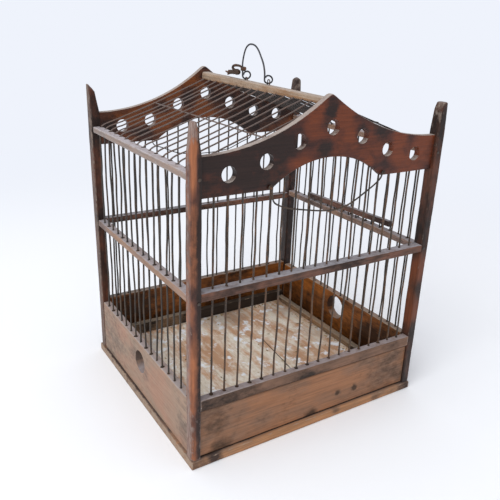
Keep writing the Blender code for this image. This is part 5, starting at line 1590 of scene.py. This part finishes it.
def crumbs(name, dark, light, rough=0.9):
    """Matt dirt: two tones by fine noise, no gloss at all."""
    material, tree, shader = new_material(name)
    fine = stretched_noise(tree, object_place(tree), (2.2 * MM,) * 3, 3, 0.6, 2.0)
    colour = mixed(tree, ranged(tree, fine, 0.35, 0.65), linear(dark), linear(light))
    feed(tree, shader, {"Base Color": colour, "Roughness": rough, "Specular IOR Level": 0.15})
    return material


FOOT_DIRT_AND_SHADE = crumbs("greasy_dirt_and_shade_collars", "241C17", "4A3B30")
HUSKS = crumbs("dry_seed_husks", "6E5637", "B9A27C")

# %% Collars at the wire feet
COLLAR_SINK = 0.15 * MM
RAIL_TOPS = {side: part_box("mid_rail_" + side)[1].z for side in ("front", "back", "left", "right")}
STANDS = [(x, -FRONT_ROW_Y, strip_top(x)) for x in FRONT_XS]
STANDS += [(x, FRONT_ROW_Y, BACK_BOARD_TOP) for x in FRONT_XS]
STANDS += [(-SIDE_ROW_X, y, SIDE_BOARD_TOP) for y in LEFT_YS]
STANDS += [(SIDE_ROW_X, y, SIDE_BOARD_TOP) for y in SIDE_YS[:3] + SIDE_YS[13:]]
STANDS += [(side * (ROOF_EXIT.x + 0.3 * MM), y, EAVE_TOP) for side in (-1, 1) for y in ROOF_YS]
STANDS += [(x, -FRONT_ROW_Y, RAIL_TOPS["front"]) for x in FRONT_XS]
STANDS += [(x, FRONT_ROW_Y, RAIL_TOPS["back"]) for x in FRONT_XS]
STANDS += [(-SIDE_ROW_X, y, RAIL_TOPS["left"]) for y in LEFT_YS]
STANDS += [(SIDE_ROW_X, y, RAIL_TOPS["right"]) for y in SIDE_YS]
feet = [(x, y, z - COLLAR_SINK) for x, y, z in STANDS]
# The collars' dark is partly dirt and partly painted shade where each wire meets the wood.
mesh = bake("wire_foot_dirt_and_shade", point_mesh(feet), SCATTER, **{
    "Size": 1.75 * MM, "Length": 1.15, "Height": 0.32, "Roughness": 0.5, "Tilt": 0.0, "Seed": 3,
    "Finish": FOOT_DIRT_AND_SHADE})
new_piece("wire_foot_dirt_and_shade", mesh, FOOT_DIRT_AND_SHADE, "cage", [], slot_of["front_bars"])
print("Collars:", len(feet))

# %% Husks in the tray
HUSK_Z = 22.3 * MM          # just over the tray's floor
TROUGH_Z = 10.2 * MM        # on the base, in the troughs beside the tray
TRAY_HALF = 125 * MM
chance = random.Random(5)
husks = []
for i in range(150):
    along = chance.uniform(-116, 104) * MM
    if i % 3 == 0:
        spot = (chance.uniform(126.3, 133.6) * MM, along, TROUGH_Z)
    elif i % 3 == 1:
        spot = ((117 - abs(chance.gauss(0, 5))) * MM, along, HUSK_Z)
    else:
        spot = (chance.uniform(-112, 112) * MM, (106 - abs(chance.gauss(0, 5))) * MM, HUSK_Z)
    husks.append(spot)
husks += [(chance.uniform(-110, 110) * MM, chance.uniform(-112, 100) * MM, HUSK_Z) for _ in range(45)]
in_tray = [spot for spot in husks if abs(spot[0]) < TRAY_HALF]
in_trough = [spot for spot in husks if abs(spot[0]) >= TRAY_HALF]
for name, points, body, slot in (("tray_husks", in_tray, "tray", slot_of["tray_plank_left"]),
                                 ("trough_husks", in_trough, "cage", slot_of["base_board"])):
    mesh = bake(name, point_mesh(points), SCATTER, **{
        "Size": 0.75 * MM, "Length": 2.6, "Height": 0.5, "Roughness": 0.45, "Tilt": 0.25, "Seed": 9,
        "Finish": HUSKS})
    new_piece(name, mesh, HUSKS, body, [], slot)
print("Husks:", len(husks))
